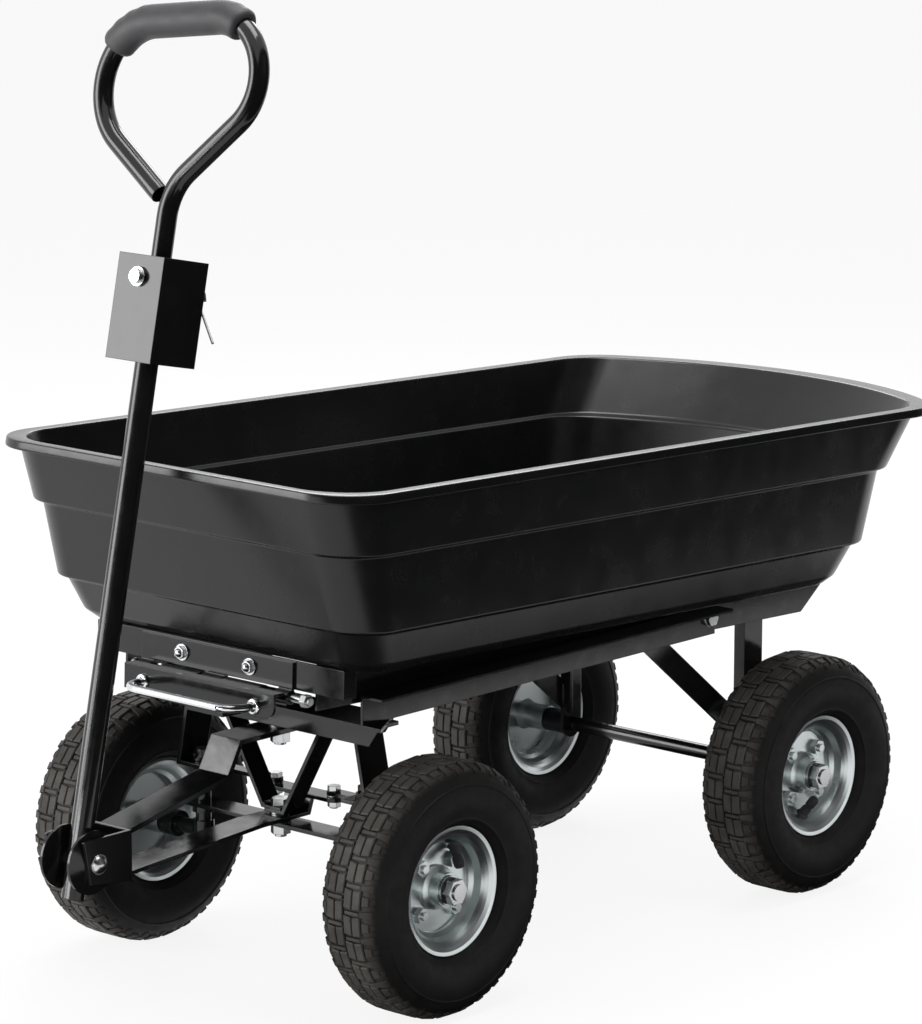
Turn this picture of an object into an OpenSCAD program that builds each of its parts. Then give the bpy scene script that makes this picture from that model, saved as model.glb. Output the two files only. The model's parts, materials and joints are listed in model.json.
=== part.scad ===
// Tipping dump cart: a moulded tub on a steel bed that hinges on a steered front frame
// +X points forward to the pull handle, +Y to the left, +Z up, the ground is z = 0, millimetres

/* [Wheels] */
// Outside diameter of each tyre
tyre_d = 254; // [244:1:260]
// Width of each tyre across its sidewalls
tyre_w = 82; // [76:1:86]
// Width of the flat tread band round each tyre
tread_w = 48; // [44:1:54]
// Depth of the grooves round the tread
groove_depth = 4; // [2:0.5:5]
// Thickness of the tyre's wall
tyre_wall = 6; // [5:0.5:8]
// Distance between the front and rear axles
wheelbase = 586; // [580:1:600]
// Distance between the middle planes of the front wheels
track_front = 398; // [394:1:406]
// Diameter over the rolled flanges of each rim
rim_d = 128; // [124:1:132]
// Width over the rolled flanges of each rim
rim_w = 54; // [52:1:58]
// Diameter of the rim where the tyre's beads sit
seat_d = 106; // [104:1:108]
// Depth of the well between the two bead seats
rim_well = 6; // [4:0.5:7]
// Thickness of the rim's sheet steel
rim_t = 2.5; // [2:0.1:3]
// Flare of each rim's flanges from their bead seats
rim_flare = 9; // [7:0.5:10]
// Outside diameter of the hub tube
hub_d = 34; // [32:1:38]
// Reach of the hub inboard of the wheel's middle plane
hub_in = 33; // [31:1:35]
// Reach of the hub outboard of the wheel's middle plane
hub_out = 22; // [20:1:24]
// Radius of the circle of nuts on each rim
rim_nut_r = 33; // [31:0.5:35]
// Width across the corners of the rim's nuts
rim_nut_d = 17; // [14:0.5:18]
// Diameter of the axles and kingpins
axle_d = 16; // [15:0.5:17]
// Thickness of the axle nuts
axle_nut_h = 10; // [8:0.5:12]
// Width of the axle nuts across their corners
axle_nut_d = 27; // [25:0.5:30]
// Thickness of the washer under each axle nut
washer_t = 2; // [1.5:0.1:3]

/* [Tub] */
// Reach of the tub's front rim ahead of the front axle
tub_front = 178; // [162:1:182]
// Length of the tub over its rim
tub_l = 1004; // [980:1:1010]
// Width of the tub over its rim
tub_w = 496; // [480:1:500]
// Height of the tub from its underside to the top of its rim
tub_h = 185; // [180:1:195]
// Thickness of the moulded wall
tub_wall = 4; // [3:0.5:5]
// Height of the lower ledge above the underside
low_ledge = 42; // [36:1:48]
// Height of the upper ledge above the underside
high_ledge = 120; // [112:1:128]
// Height of each ledge's sloping face
ledge_rise = 2; // [1:0.5:4]
// Depth of the rim's turned-down edge
lip_h = 9; // [6:0.5:12]
// Overhang of the rim at the front
lip_front = 10; // [8:0.5:14]
// Overhang of the rim at each side
lip_side = 11; // [8:0.5:14]
// Overhang of the rim at the pouring end
lip_rear = 22; // [18:0.5:26]
// Width of each ledge at the front
ledge_front = 7; // [5:0.5:9]
// Width of each ledge at the sides
ledge_side = 6; // [5:0.5:8]
// Width of each ledge at the pouring end
ledge_rear = 11; // [8:0.5:14]
// Slope of the front wall over its top band
draft_front_top = 17; // [5:0.5:20]
// Slope of the front wall over its middle band
draft_front_mid = 22; // [18:0.5:26]
// Slope of the front wall over its bottom band
draft_front_low = 17; // [12:0.5:20]
// Slope of the side walls over their top band
draft_side_top = 6; // [4:0.5:8]
// Slope of the side walls over their middle band
draft_side_mid = 5; // [4:0.5:8]
// Slope of the side walls over their bottom band
draft_side_low = 10; // [6:0.5:12]
// Slope of the pouring end over its top band
draft_rear_top = 41; // [24:0.5:44]
// Slope of the pouring end over its middle band
draft_rear_mid = 22; // [18:0.5:26]
// Slope of the pouring end over its bottom band
draft_rear_low = 23; // [18:0.5:26]
// Rounding between the walls and the underside
base_round = 10; // [8:0.5:12]
// Radius of the front corners at the rim
corner_front = 60; // [50:1:70]
// Radius of the rear corners at the rim
corner_rear = 75; // [60:1:85]
// Tightening of the corner radii from the rim to the floor
corner_shrink = 22; // [16:1:28]
// Radius of the bowed pouring edge
bow_r = 380; // [360:5:420]
// Margin of the floor ahead of and behind its raised panel
panel_edge = 53; // [45:1:70]
// Margin of the floor beside its raised panel
panel_side = 89; // [80:1:100]
// Height of the raised panel above the tub's floor
panel_h = 1.5; // [1:0.1:3]
// Corner radius of the raised panel
panel_r = 30; // [20:1:40]
// Diameter of the bolts through the tub's floor
tub_bolt_d = 8; // [6:0.5:9]
// Distance of each row of bolts outboard of its bed rail's web
tub_bolt_out = 21; // [18:0.5:24]

/* [Bed] */
// Place of the tipping pivot ahead of the middle of the wheelbase
tip_x = -205; // [-210:1:-200]
// Height of the tipping pivot above the axles
tip_rise = 173; // [171:0.5:177]
// Upward slope of the bed toward the front
bed_pitch = 2.1; // [1.9:0.1:2.6]
// Inset of each bed rail from the tub's rim
bed_inset = 120; // [116:1:124]
// Thickness of the bed's sheet steel
bed_t = 3; // [2.5:0.1:4]
// Height of the bed rails' webs
bed_web_h = 45; // [40:0.5:47]
// Height of the bed's top above the tipping pivot
bed_top = 29.5; // [28:0.5:32]
// Width of the bed rails' flanges
bed_flange = 37; // [34:0.5:40]
// Reach of the bed rails ahead of the front axle
bed_over = 88; // [84:0.5:92]
// Reach of the bed rails behind the tipping pivot
bed_rear = 205; // [185:1:210]
// Length of the slanted cut under each bed rail's rear end
rail_cut_l = 39; // [30:1:45]
// Height of the slanted cut under each bed rail's rear end
rail_cut_h = 31.5; // [25:0.5:35]
// Setback of each bed rail's flange from its rear end
flange_cut = 45; // [30:1:60]
// Height of the front plate across the bed
front_plate_h = 28; // [25:0.5:30]
// Length of the front plate's folded ends
front_fold = 14; // [10:0.5:18]
// Width of the bars across the bed
crossbar_w = 40; // [30:1:46]
// Thickness of the rear legs and braces
leg_t = 4; // [3:0.5:5]
// Width of the rear legs
leg_w = 30; // [28:1:44]
// Height of the rear legs' tops above the tipping pivot
leg_rise = 16; // [10:1:20]
// Width of the stiffening fold along each rear leg
leg_fold = 10; // [8:1:22]
// Width of the rear braces
brace_w = 25; // [22:1:34]
// Place of each brace's upper end ahead of the tipping pivot
brace_reach = 100; // [80:1:110]
// Height of each brace's lower end above the axle
brace_low = 36; // [30:1:44]
// Diameter of the sleeves beside the rear wheels
sleeve_d = 26; // [22:1:30]
// Length of the sleeves beside the rear wheels
sleeve_l = 28.7; // [26:0.1:32]

/* [Front frame] */
// Gap between the bed rails and the front frame's rails
rail_gap = 4; // [3:0.5:5]
// Height of the front frame's rails
rail_h = 30; // [29:0.5:33]
// Depth of the rails' lower edge under the tipping pivot
rail_drop = 18; // [16:0.5:19]
// Width of the rails' flanges
rail_flange = 28; // [24:0.5:30]
// Reach of the rails behind the tipping pivot
rail_rear = 10; // [9:0.5:12]
// Reach of the rails ahead of the front axle
rail_front = 32; // [30:0.5:34]
// Diameter of the tipping bolts
tip_bolt_d = 10; // [8:0.5:11]
// Width of the bolster from front to back
bolster_l = 50; // [48:0.5:54]
// Reach of the bolster outboard of each rail's web
bolster_out = 25; // [20:0.5:30]
// Inward slant of the bolster's ends, down its folded edges
bolster_slant = 14; // [10:0.5:18]
// Inward slant of the bolster's ends, from front to back
bolster_cut = 30; // [20:1:34]
// Thickness of the bolster's plate
bolster_t = 4; // [3:0.5:5]
// Depth of the bolster's folded edges
bolster_drop = 20; // [16:0.5:22]
// Length of the rubber rests under the bed rails
pad_l = 26; // [20:1:32]
// Width of the rubber rests
pad_w = 13; // [10:0.5:13.5]
// Thickness of the front legs
front_leg_t = 4; // [3:0.5:5]
// Width of the front legs from front to back
front_leg_w = 38; // [34:1:42]
// Inset of each front leg's top from the bolster's end
leg_in = 50; // [46:0.5:54]
// Distance between the outer faces of the front legs' feet
leg_foot_w = 262; // [258:1:266]
// Length of the legs' tabs under the bolster
leg_tab = 28; // [22:1:32]
// Height of the legs' feet above the front axle
foot_rise = 69; // [66:0.5:74]
// Width of the two sloping struts
strut_w = 24; // [20:1:26]
// Thickness of the sloping struts
strut_t = 3; // [2.5:0.5:3.5]
// Inset of each strut's top from its front leg's top
strut_in = 38; // [35:0.5:42]
// Length of each strut's foot past the middle
strut_foot = 15; // [13:0.5:18]
// Height of the lower crossbar above the front axle
cross_rise = 27; // [25:0.5:29]
// Width of the lower crossbar from front to back
cross_l = 30; // [26:1:34]
// Length of the lower crossbar from side to side
cross_w = 264; // [252:1:268]

/* [Steering] */
// Distance between the two kingpins
king_w = 224; // [220:1:228]
// Diameter of the bosses that join the kingpins to their stub axles
king_boss = 22; // [20:0.5:24]
// Height of the steering arms above the front axle
arm_rise = 51; // [49:0.5:53]
// Reach of each steering arm behind its kingpin
arm_back = 32; // [30:0.5:33]
// Reach of each steering arm outboard of its kingpin
arm_out = 22; // [20:0.5:24]
// Width of the steering arms
arm_w = 18; // [16:0.5:20]
// Width of the tie rods
rod_w = 15; // [14:0.5:15.5]
// Extra width of the tie rods' outer eyes
rod_eye = 5; // [4:0.5:6]
// Thickness of the steering arms and tie rods
arm_t = 4; // [3:0.5:4.5]
// Place of the tongue's pivot ahead of the front axle
steer_x = 4; // [2:0.5:6]
// Reach of the tie bolts behind the tongue's pivot
tie_back = 35; // [33:0.5:37]
// Distance between the two tie bolts
tie_w = 80; // [76:1:84]
// Diameter of the tie bolts
tie_bolt_d = 8; // [7:0.5:9]
// Thickness of the washers between the tongue's tail and the tie rods
tie_washer = 1.5; // [1:0.1:2]
// Diameter of the tongue's pivot bolts
tongue_bolt_d = 12; // [10:0.5:13]
// Width of the tongue's upper arm
upper_w = 40; // [34:1:44]
// Thickness of the tongue's upper arm
upper_t = 5; // [4:0.5:6]
// Height of the upper arm's rear end above the front axle
upper_rise = 125; // [122:0.5:128]
// Length of the upper arm's level part ahead of its pivot
upper_level = 76; // [72:1:80]
// Drop of the upper arm at its bend
upper_drop = 32; // [28:0.5:36]
// Width of the tongue's lower arm
lower_w = 36; // [32:1:40]
// Thickness of the tongue's lower arm
lower_t = 4; // [3:0.5:4.5]
// Length of the lower arm's level part ahead of its pivot
lower_level = 43; // [38:1:48]
// Width of the tongue's tail across the tie bolts
tail_w = 104; // [100:1:108]
// Length of the tongue's tail bar from front to back
tail_l = 22; // [20:0.5:24]
// Place of the step up to the tail behind the tongue's pivot
step_back = 20; // [20:0.5:22]
// Run of the step up to the tail
step_run = 6; // [5:0.5:8]

/* [Fork and handle] */
// Reach of the handle's pivot ahead of the front axle
pivot_reach = 281; // [278:0.5:286]
// Height of the handle's pivot above the front axle
pivot_rise = 48; // [46:0.5:50]
// Distance from the fork's back to the handle's pivot
fork_l = 44; // [43:0.5:48]
// Width of the fork over its cheeks
fork_w = 56; // [54:0.5:60]
// Thickness of the fork's plates
fork_t = 4; // [3:0.5:4.5]
// Height of the fork's back plate
fork_h = 50; // [48:0.5:54]
// Reach of the fork's cheeks ahead of the handle's pivot
fork_nose = 18; // [14:0.5:20]
// Diameter of the dished discs beside the handle
disc_d = 62; // [56:1:66]
// Dish of each disc from its rim to its hub
disc_dish = 3.5; // [2:0.5:4]
// Diameter of the handle's pivot bolt
fork_bolt_d = 10; // [8:0.5:11]
// Backward lean of the handle as it stands
handle_lean = 12; // [9:0.5:13]
// Outside diameter of the handle's tube
handle_d = 22.5; // [21.5:0.1:24]
// Length of the handle's tube above its pivot
handle_up = 574; // [560:1:590]
// Length of the handle's tube under its pivot
handle_down = 38; // [34:0.5:38.5]
// Outside diameter of the loop's tube
loop_d = 20; // [19:0.1:20.5]
// Wall of the loop's tube
loop_wall = 1.6; // [1.2:0.1:2]
// Length of the loop's neck inside the handle's tube
neck_in = 60; // [50:1:70]
// Length of the loop's neck above the handle's tube
neck_out = 42; // [36:1:48]
// Bend angle of the loop's shoulder
shoulder_a = 48; // [46:0.5:50]
// Bend radius of the loop's shoulder
shoulder_r = 58; // [50:1:62]
// Length of the loop's rising side
side_l = 76; // [70:1:84]
// Bend radius of the loop's left corner
left_r = 56; // [52:1:58]
// Bend angle of the loop's left corner
left_a = 144.5; // [144:0.5:146]
// Length of the loop's straight top
loop_top = 83.5; // [82:0.5:86]
// Bend radius of the loop's right corner
right_r = 64.5; // [62:0.5:67]
// Bend angle of the loop's right corner
right_a = 140; // [138:0.5:142]
// Length of the loop's falling side
fall_l = 80; // [60:1:81]
// Outside diameter of the foam grip
grip_d = 32.5; // [30:0.5:36]
// Angle of the left corner covered by the grip
grip_left_a = 36; // [15:1:45]
// Angle of the right corner covered by the grip
grip_right_a = 50; // [40:1:70]

/* [Hitch] */
// Height of the hitch bracket
bracket_h = 101; // [90:1:104]
// Width of the hitch bracket
bracket_w = 60; // [56:1:64]
// Thickness of the hitch bracket's plate
bracket_t = 3; // [2.5:0.5:4]
// Reach of the bracket ahead of the handle's middle
bracket_front = 26; // [23:0.5:30]
// Reach of the bracket behind the handle's middle
bracket_back = 34; // [30:0.5:38]
// Diameter of the hitch pin
pin_d = 10; // [9:0.5:12]
// Depth of the hitch pin under the bracket's top
pin_drop = 21; // [18:0.5:28]
// Length of the hitch pin's tail behind the bracket
pin_tail = 22; // [18:0.5:26]
// Diameter of the spring clip's wire
clip_d = 2.8; // [2.4:0.1:3.2]
// Length of the spring clip's straight leg
clip_leg = 76; // [70:1:80]
// Length of that leg past the hitch pin, on the side of its eye
clip_past = 10; // [9:0.5:12]
// Bend radius of the spring clip's eye
clip_r = 6; // [5.5:0.1:6.5]
// Tilt of the spring clip about the hitch pin
clip_a = 36; // [30:1:45]

/* [Latch] */
// Width of the latch's fixed plate
latch_w = 206; // [196:1:212]
// Diameter of the latch's pivot rod
latch_rod_d = 8; // [7:0.5:9]
// Drop of the pivot rod under the tipping pivot's level
latch_drop = 6; // [5.8:0.1:7]
// Radius of the latch's hinge eyes
eye_r = 7; // [6.2:0.1:7]
// Reach of the lever's lip ahead of the pivot rod
lip_reach = 20; // [18:0.5:24]
// Height of the lever's lip
lever_lip_h = 25; // [20:0.5:27]
// Width of the lever's hook
hook_w = 50; // [40:1:54]
// Depth of the hook under the pivot rod
hook_drop = 27; // [26:0.5:28]
// Gap between the hook's tooth and the catch
hook_gap = 1; // [0.6:0.1:2]
// Length of the catch's tab ahead of the bolster
catch_l = 22; // [18:0.5:24]
// Distance of the lever's two hinge eyes from the middle
lever_eye_y = 42; // [40:1:44]
// Length of the lever's two hinge eyes
lever_eye_l = 50; // [46:1:52]
// Width of the pull handle over its bar
pull_w = 160; // [140:2:170]
// Reach of the pull handle's bar ahead of the lever's lip
pull_reach = 30; // [26:0.5:34]
// Diameter of the pull handle's bar
pull_d = 8; // [7:0.5:9]
// Bend radius of the pull handle's corners
pull_r = 22; // [18:1:24]
// Thickness of the pull handle's two feet
pull_foot = 3; // [2:0.5:4]
// Diameter of the latch's two bolts
latch_bolt_d = 8; // [6:0.5:9]
// Distance between the latch's two bolts
latch_bolt_w = 92; // [84:1:100]

/* [Fits] */
// Radial clearance of a bore on its shaft
fit = 0.05; // [0.03:0.01:0.08]
// End play beside a turning piece
play = 0.3; // [0.3:0.05:0.5]
// Clearance of the tyre's beads in the rim
bead_gap = 0.3; // [0.3:0.05:0.4]
// Clearance of the handle's telescoping tubes
slide_gap = 0.1; // [0.05:0.01:0.2]
// Room for the tie rods' outer ends round their pins
rod_room = 1.8; // [1.7:0.1:2.2]

/* [Hidden] */
$fn = 64;
axle_r = axle_d / 2;
axle_z = tyre_d / 2;
front_x = wheelbase / 2;
rear_x = -wheelbase / 2;
front_y = track_front / 2;
tip_z = axle_z + tip_rise;
axle_end = hub_out + play + washer_t + axle_nut_h + 2;
rim_r = rim_d / 2;
seat_r = seat_d / 2;
bed_y = tub_w / 2 - bed_inset;
rear_y = bed_y + sleeve_l + play + hub_in;
bed_front = front_x + bed_over - tip_x;
tub_bolt_y = bed_y + tub_bolt_out;
web_low = bed_top - bed_web_h;
rail_y = bed_y + bed_t + rail_gap;
rail_z = tip_z - rail_drop;
bolster_y = rail_y + bolster_out;
leg_top_y = bolster_y - leg_in;
strut_top_y = leg_top_y - strut_in;
bolster_x = front_x - front_leg_w / 2 - 1;
foot_z = axle_z + foot_rise;
cross_z = axle_z + cross_rise;
arm_z = axle_z + arm_rise;
rod_z = arm_z + arm_t + 2.4;
king_y = king_w / 2;
pin_x = front_x + steer_x;
lower_z = cross_z + 8;
upper_z = axle_z + upper_rise;
strut_z = lower_z + lower_t + 2;
shelf_z = rod_z - play - tie_washer - lower_t;
fork_x = front_x + pivot_reach;
fork_z = axle_z + pivot_rise;
fork_back = fork_x - fork_l;
fork_low = fork_z - fork_h / 2;
cheek_y = fork_w / 2 - fork_t;
tie_x = pin_x - tie_back;
tie_y = tie_w / 2;
rod_l = norm([front_x - arm_back - tie_x, king_y + arm_out - tie_y]);
rod_a = atan2(king_y + arm_out - tie_y, front_x - arm_back - tie_x);
plate_u = bed_front + bed_t;
latch_u = plate_u + bed_t + 1;
lever_u = latch_u + lip_reach;
catch_x = bolster_x + bolster_l + catch_l;
catch_z = rail_z + 14;
hook_tip = (catch_x + hook_gap - tip_x + (catch_z - tip_z) * tan(bed_pitch)) * cos(bed_pitch) + 0.5;
bracket_low = handle_up - bracket_h + bracket_t;
lip_in = [lip_front, lip_side, lip_rear];
top_in = lip_in + [draft_front_top, draft_side_top, draft_rear_top];
ledge_in = [ledge_front, ledge_side, ledge_rear];
mid_in = top_in + ledge_in + [draft_front_mid, draft_side_mid, draft_rear_mid];
low_in = mid_in + ledge_in + [draft_front_low, draft_side_low, draft_rear_low];
round_in = [base_round, base_round, base_round];
wall_in = [tub_wall, tub_wall, tub_wall];
lip_cut = round_in * 0.3;
tub_ahead = front_x + tub_front - tip_x;
tub_rear = tub_l - tub_ahead;
x_max = fork_x + disc_d / 2;
x_min = tip_x - tub_rear * cos(bed_pitch) - (bed_top + tub_h - lip_h / 3) * sin(bed_pitch);
x_mid = (x_max + x_min) / 2;
panel_mid = (tub_ahead - low_in[0] - tub_rear + low_in[2]) / 2;
panel_l = tub_l - low_in[0] - low_in[2] - 2 * panel_edge;
panel_w = tub_w - 2 * low_in[1] - 2 * panel_side;
bolt_u = [panel_mid - panel_l * 0.42, panel_mid, panel_mid + panel_l * 0.46];
loop_path = [
  [0, neck_in + neck_out],
  [shoulder_r, shoulder_a],
  [0, side_l],
  [left_r, grip_left_a - left_a],
  [left_r, -grip_left_a],
  [0, loop_top],
  [right_r, -grip_right_a],
  [right_r, grip_right_a - right_a],
  [0, fall_l]
];
bend_step = 9;
loop_sides = 20;
clip_sides = 8;
pull_sides = 16;
loop_run = walk(loop_path, 0, [0, handle_up - neck_in], 0);
before_grip = len(walk([for (i = [0:3]) loop_path[i]], 0, [0, 0], 0)) - 1;
grip_count = len(walk([for (i = [4:6]) loop_path[i]], 0, [0, 0], 0));
grip_run = [for (i = [0:grip_count - 1]) loop_run[before_grip + i]];
clip_path = [
  [0, clip_leg],
  [clip_r, 200],
  [0, 12],
  [clip_r, -40],
  [0, 8],
  [clip_r, 40],
  [0, 6]
];
pull_path = [
  [0, pull_reach - pull_r],
  [pull_r, 90],
  [0, pull_w - pull_d - 2 * pull_r],
  [pull_r, 90],
  [0, pull_reach - pull_r]
];
flare_steps = [0, 0.2, 0.4, 0.7, 1];

// Frames

module place() {
  translate([-x_mid, 0, 0])
    children();
}

module at_bed() {
  place()
    translate([tip_x, 0, tip_z])
      rotate([0, -bed_pitch, 0])
        children();
}

module at_handle() {
  place()
    translate([fork_x, 0, fork_z])
      rotate([0, -handle_lean, 0])
        children();
}

module at_wheel(x, y) {
  place()
    translate([x, y, axle_z])
      rotate([y > 0 ? -90 : 90, 0, 0])
        children();
}

module side(s) {
  mirror([0, s > 0 ? 0 : 1, 0])
    children();
}

module both() {
  children();
  mirror([0, 1, 0])
    children();
}

// Plate drawn in the XZ plane, from y0 toward +Y
module plate_xz(y0, t) {
  translate([0, y0 + t, 0])
    rotate([90, 0, 0])
      linear_extrude(t)
        children();
}

// Plate drawn in the YZ plane, from x0 toward +X
module plate_yz(x0, t) {
  translate([x0, 0, 0])
    rotate([90, 0, 90])
      linear_extrude(t)
        children();
}

// Rod along Y from y0 to y1
module rod_y(r, y0, y1) {
  translate([0, y0, 0])
    rotate([-90, 0, 0])
      cylinder(r = r, h = y1 - y0);
}

// Stations along a bar bent in the YZ plane: straights [0, length] and bends [radius, angle]
function across(a) = [cos(a), -sin(a)];

function walk(path, i, p, a) =
  i == len(path) ? [[p, a]]
  : path[i][0] == 0 ? concat([[p, a]], walk(path, i + 1, p + path[i][1] * [sin(a), cos(a)], a))
  : let (
      r = sign(path[i][1]) * path[i][0],
      v = path[i][1],
      n = ceil(abs(v) / bend_step)
    )
    concat(
      [for (k = [0:n - 1]) [p + r * (across(a) - across(a + v * k / n)), a + v * k / n]],
      walk(path, i + 1, p + r * (across(a) - across(a + v)), a + v)
    );

function bar_ring(st, r, n) =
  [for (k = [0:n - 1])
    let (t = 360 * k / n, c = across(st[1]))
    [r * cos(t), st[0][0] + r * sin(t) * c[0], st[0][1] + r * sin(t) * c[1]]];

// Skin over a row of rings, with two end caps or closed round on itself
module skin(rings, closed) {
  n = len(rings[0]);
  m = len(rings);
  points = [for (ring = rings) for (p = ring) p];
  walls = [for (k = [0:closed ? m - 1 : m - 2]) for (i = [0:n - 1]) for (t = [0, 1])
    let (a = k * n + i, b = k * n + (i + 1) % n, c = ((k + 1) % m) * n)
    t == 0 ? [a, c + i, c + (i + 1) % n] : [a, c + (i + 1) % n, b]];
  first = closed ? [] : [[for (i = [0:n - 1]) i]];
  last = closed ? [] : [[for (i = [0:n - 1]) m * n - 1 - i]];
  polyhedron(points = points, faces = concat(first, walls, last), convexity = 8);
}

module bent_bar(stations, d, n) {
  skin([for (st = stations) bar_ring(st, d / 2, n)], false);
}

module bent_tube(stations, d, bore, n) {
  m = len(stations);
  outer = [for (st = stations) bar_ring(st, d / 2, n)];
  inner = [for (k = [0:m - 1]) bar_ring(stations[m - 1 - k], bore / 2, n)];
  skin(concat(outer, inner), true);
}

// Rounded bar in the XY plane from the origin along +X, with round ends
module link_2d(l, w) {
  translate([0, -w / 2])
    square([l, w]);
  circle(d = w);
  translate([l, 0])
    circle(d = w);
}

// Tub walls: outline of one level, from the front corner round the pouring end
function arc(c, r, a0, a1, n) =
  [for (i = [0:n])
    let (t = a0 + (a1 - a0) * i / n)
    c + r * [cos(t), sin(t)]];

function half_outline(f, w, b, rf, rr) =
  let (
    bow_x = b + bow_r,
    cy = w - rr,
    cx = bow_x - sqrt((bow_r - rr) * (bow_r - rr) - cy * cy),
    a = atan2(cy, cx - bow_x)
  )
  concat(
    arc([f - rf, w - rf], rf, 0, 90, 7),
    arc([cx, cy], rr, 90, a, 6),
    [for (i = [1:5])
      let (t = a + (180 - a) * i / 5)
      [bow_x + bow_r * cos(t), i == 5 ? 0 : bow_r * sin(t)]]
  );

function level(h, inset) =
  let (
    k = corner_shrink * (1 - h / tub_h),
    half = half_outline(tub_ahead - inset[0], tub_w / 2 - inset[1], inset[2] - tub_rear,
      corner_front - k, corner_rear - k),
    n = len(half)
  )
  [for (i = [0:2 * n - 2]) i < n ? [half[i][0], half[i][1], bed_top + h]
    : [half[2 * n - 2 - i][0], -half[2 * n - 2 - i][1], bed_top + h]];

tub_levels = [
  level(0, low_in + round_in),
  level(base_round * 0.3, low_in + lip_cut),
  level(base_round * 0.9, low_in),
  level(low_ledge, mid_in + ledge_in),
  level(low_ledge + ledge_rise, mid_in),
  level(high_ledge, top_in + ledge_in),
  level(high_ledge + ledge_rise, top_in),
  level(tub_h - lip_h, lip_in),
  level(tub_h - lip_h, [0, 0, 0]),
  level(tub_h - lip_h / 3, [0, 0, 0]),
  level(tub_h, lip_cut),
  level(tub_h, lip_in + wall_in),
  level(high_ledge + ledge_rise + tub_wall, top_in + wall_in),
  level(high_ledge + tub_wall, top_in + ledge_in + wall_in),
  level(low_ledge + ledge_rise + tub_wall, mid_in + wall_in),
  level(low_ledge + tub_wall, mid_in + ledge_in + wall_in),
  level(base_round * 0.9 + tub_wall, low_in + wall_in),
  level(tub_wall, low_in + wall_in + round_in * 0.7)
];

module tub_shell() {
  skin(tub_levels, false);
}

module floor_panel() {
  z0 = bed_top + tub_wall - 1;
  l = panel_l / 2 - panel_r;
  w = panel_w / 2 - panel_r;
  translate([panel_mid, 0, z0])
    linear_extrude(panel_h + 1)
      union() {
        square([2 * l, panel_w], center = true);
        square([panel_l, 2 * w], center = true);
        for (x = [-l, l], y = [-w, w])
          translate([x, y])
            circle(r = panel_r);
      }
}

module tub() {
  color("#1c1d1f")
    at_bed()
      difference() {
        union() {
          tub_shell();
          floor_panel();
        }
        for (u = bolt_u, s = [-1, 1])
          translate([u, s * tub_bolt_y, bed_top - 1])
            cylinder(r = tub_bolt_d / 2 + fit, h = tub_wall + 2);
      }
}

module tub_bolts() {
  color("#b9bcc0")
    at_bed()
      for (u = bolt_u, s = [-1, 1])
        translate([u, s * tub_bolt_y, bed_top]) {
          translate([0, 0, tub_wall])
            cylinder(d = tub_bolt_d * 2.2, h = tub_bolt_d * 0.35);
          translate([0, 0, -bed_t - tub_bolt_d])
            cylinder(d = tub_bolt_d, h = tub_wall + bed_t + tub_bolt_d + 1);
          translate([0, 0, -bed_t - tub_bolt_d * 0.8])
            cylinder(d = tub_bolt_d * 1.8, h = tub_bolt_d * 0.8, $fn = 6);
        }
}

// Bed

module bed_rail(s) {
  side(s)
    difference() {
      union() {
        plate_xz(bed_y, bed_t)
          polygon([[-bed_rear, web_low + rail_cut_h], [rail_cut_l - bed_rear, web_low], [bed_front, web_low],
            [bed_front, bed_top], [-bed_rear, bed_top]]);
        translate([flange_cut - bed_rear, bed_y, bed_top - bed_t])
          cube([bed_rear - flange_cut + bed_front, bed_flange, bed_t]);
      }
      rod_y(tip_bolt_d / 2 + fit, bed_y - 1, bed_y + bed_t + 1);
      for (u = bolt_u)
        translate([u, tub_bolt_y, bed_top - bed_t - 1])
          cylinder(r = tub_bolt_d / 2 + fit, h = bed_t + 2);
    }
}

module bed_rail_l() {
  color("#232427")
    at_bed()
      bed_rail(1);
}

module bed_rail_r() {
  color("#232427")
    at_bed()
      bed_rail(-1);
}

module latch_bolt_holes(r) {
  for (s = [-1, 1])
    translate([plate_u - bed_t - 1, s * latch_bolt_w / 2, bed_top - front_plate_h / 2])
      rotate([0, 90, 0])
        cylinder(r = r, h = 2 * bed_t + 2);
}

module bed_front_plate() {
  w = bed_y + bed_flange + bed_t;
  color("#232427")
    at_bed()
      difference() {
        union() {
          translate([bed_front, -w, bed_top - front_plate_h])
            cube([bed_t, 2 * w, front_plate_h]);
          both()
            translate([bed_front - front_fold, w - bed_t, bed_top - front_plate_h])
              cube([front_fold + 1, bed_t, front_plate_h]);
        }
        latch_bolt_holes(latch_bolt_d / 2 + fit);
      }
}

module bed_crossbars() {
  color("#232427")
    at_bed()
      for (u = [-bed_rear * 0.7, bed_front * 0.3, bed_front * 0.75])
        translate([u - crossbar_w / 2, -bed_y, bed_top - bed_t])
          cube([crossbar_w, 2 * bed_y, bed_t]);
}

module rear_leg(s) {
  top = tip_z + leg_rise;
  side(s)
    translate([rear_x, 0, 0])
      difference() {
        union() {
          plate_xz(bed_y - leg_t, leg_t)
            union() {
              translate([-leg_w / 2, axle_z])
                square([leg_w, top - axle_z]);
              translate([0, axle_z])
                circle(d = leg_w);
            }
          translate([leg_w / 2 - leg_t, bed_y - leg_t - leg_fold, axle_z + axle_d])
            cube([leg_t, leg_fold + 1, top - axle_z - axle_d]);
        }
        translate([0, 0, axle_z])
          rod_y(axle_r + fit, bed_y - leg_t - 1, bed_y + 1);
      }
}

module rear_leg_l() {
  color("#232427")
    place()
      rear_leg(1);
}

module rear_leg_r() {
  color("#232427")
    place()
      rear_leg(-1);
}

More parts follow.
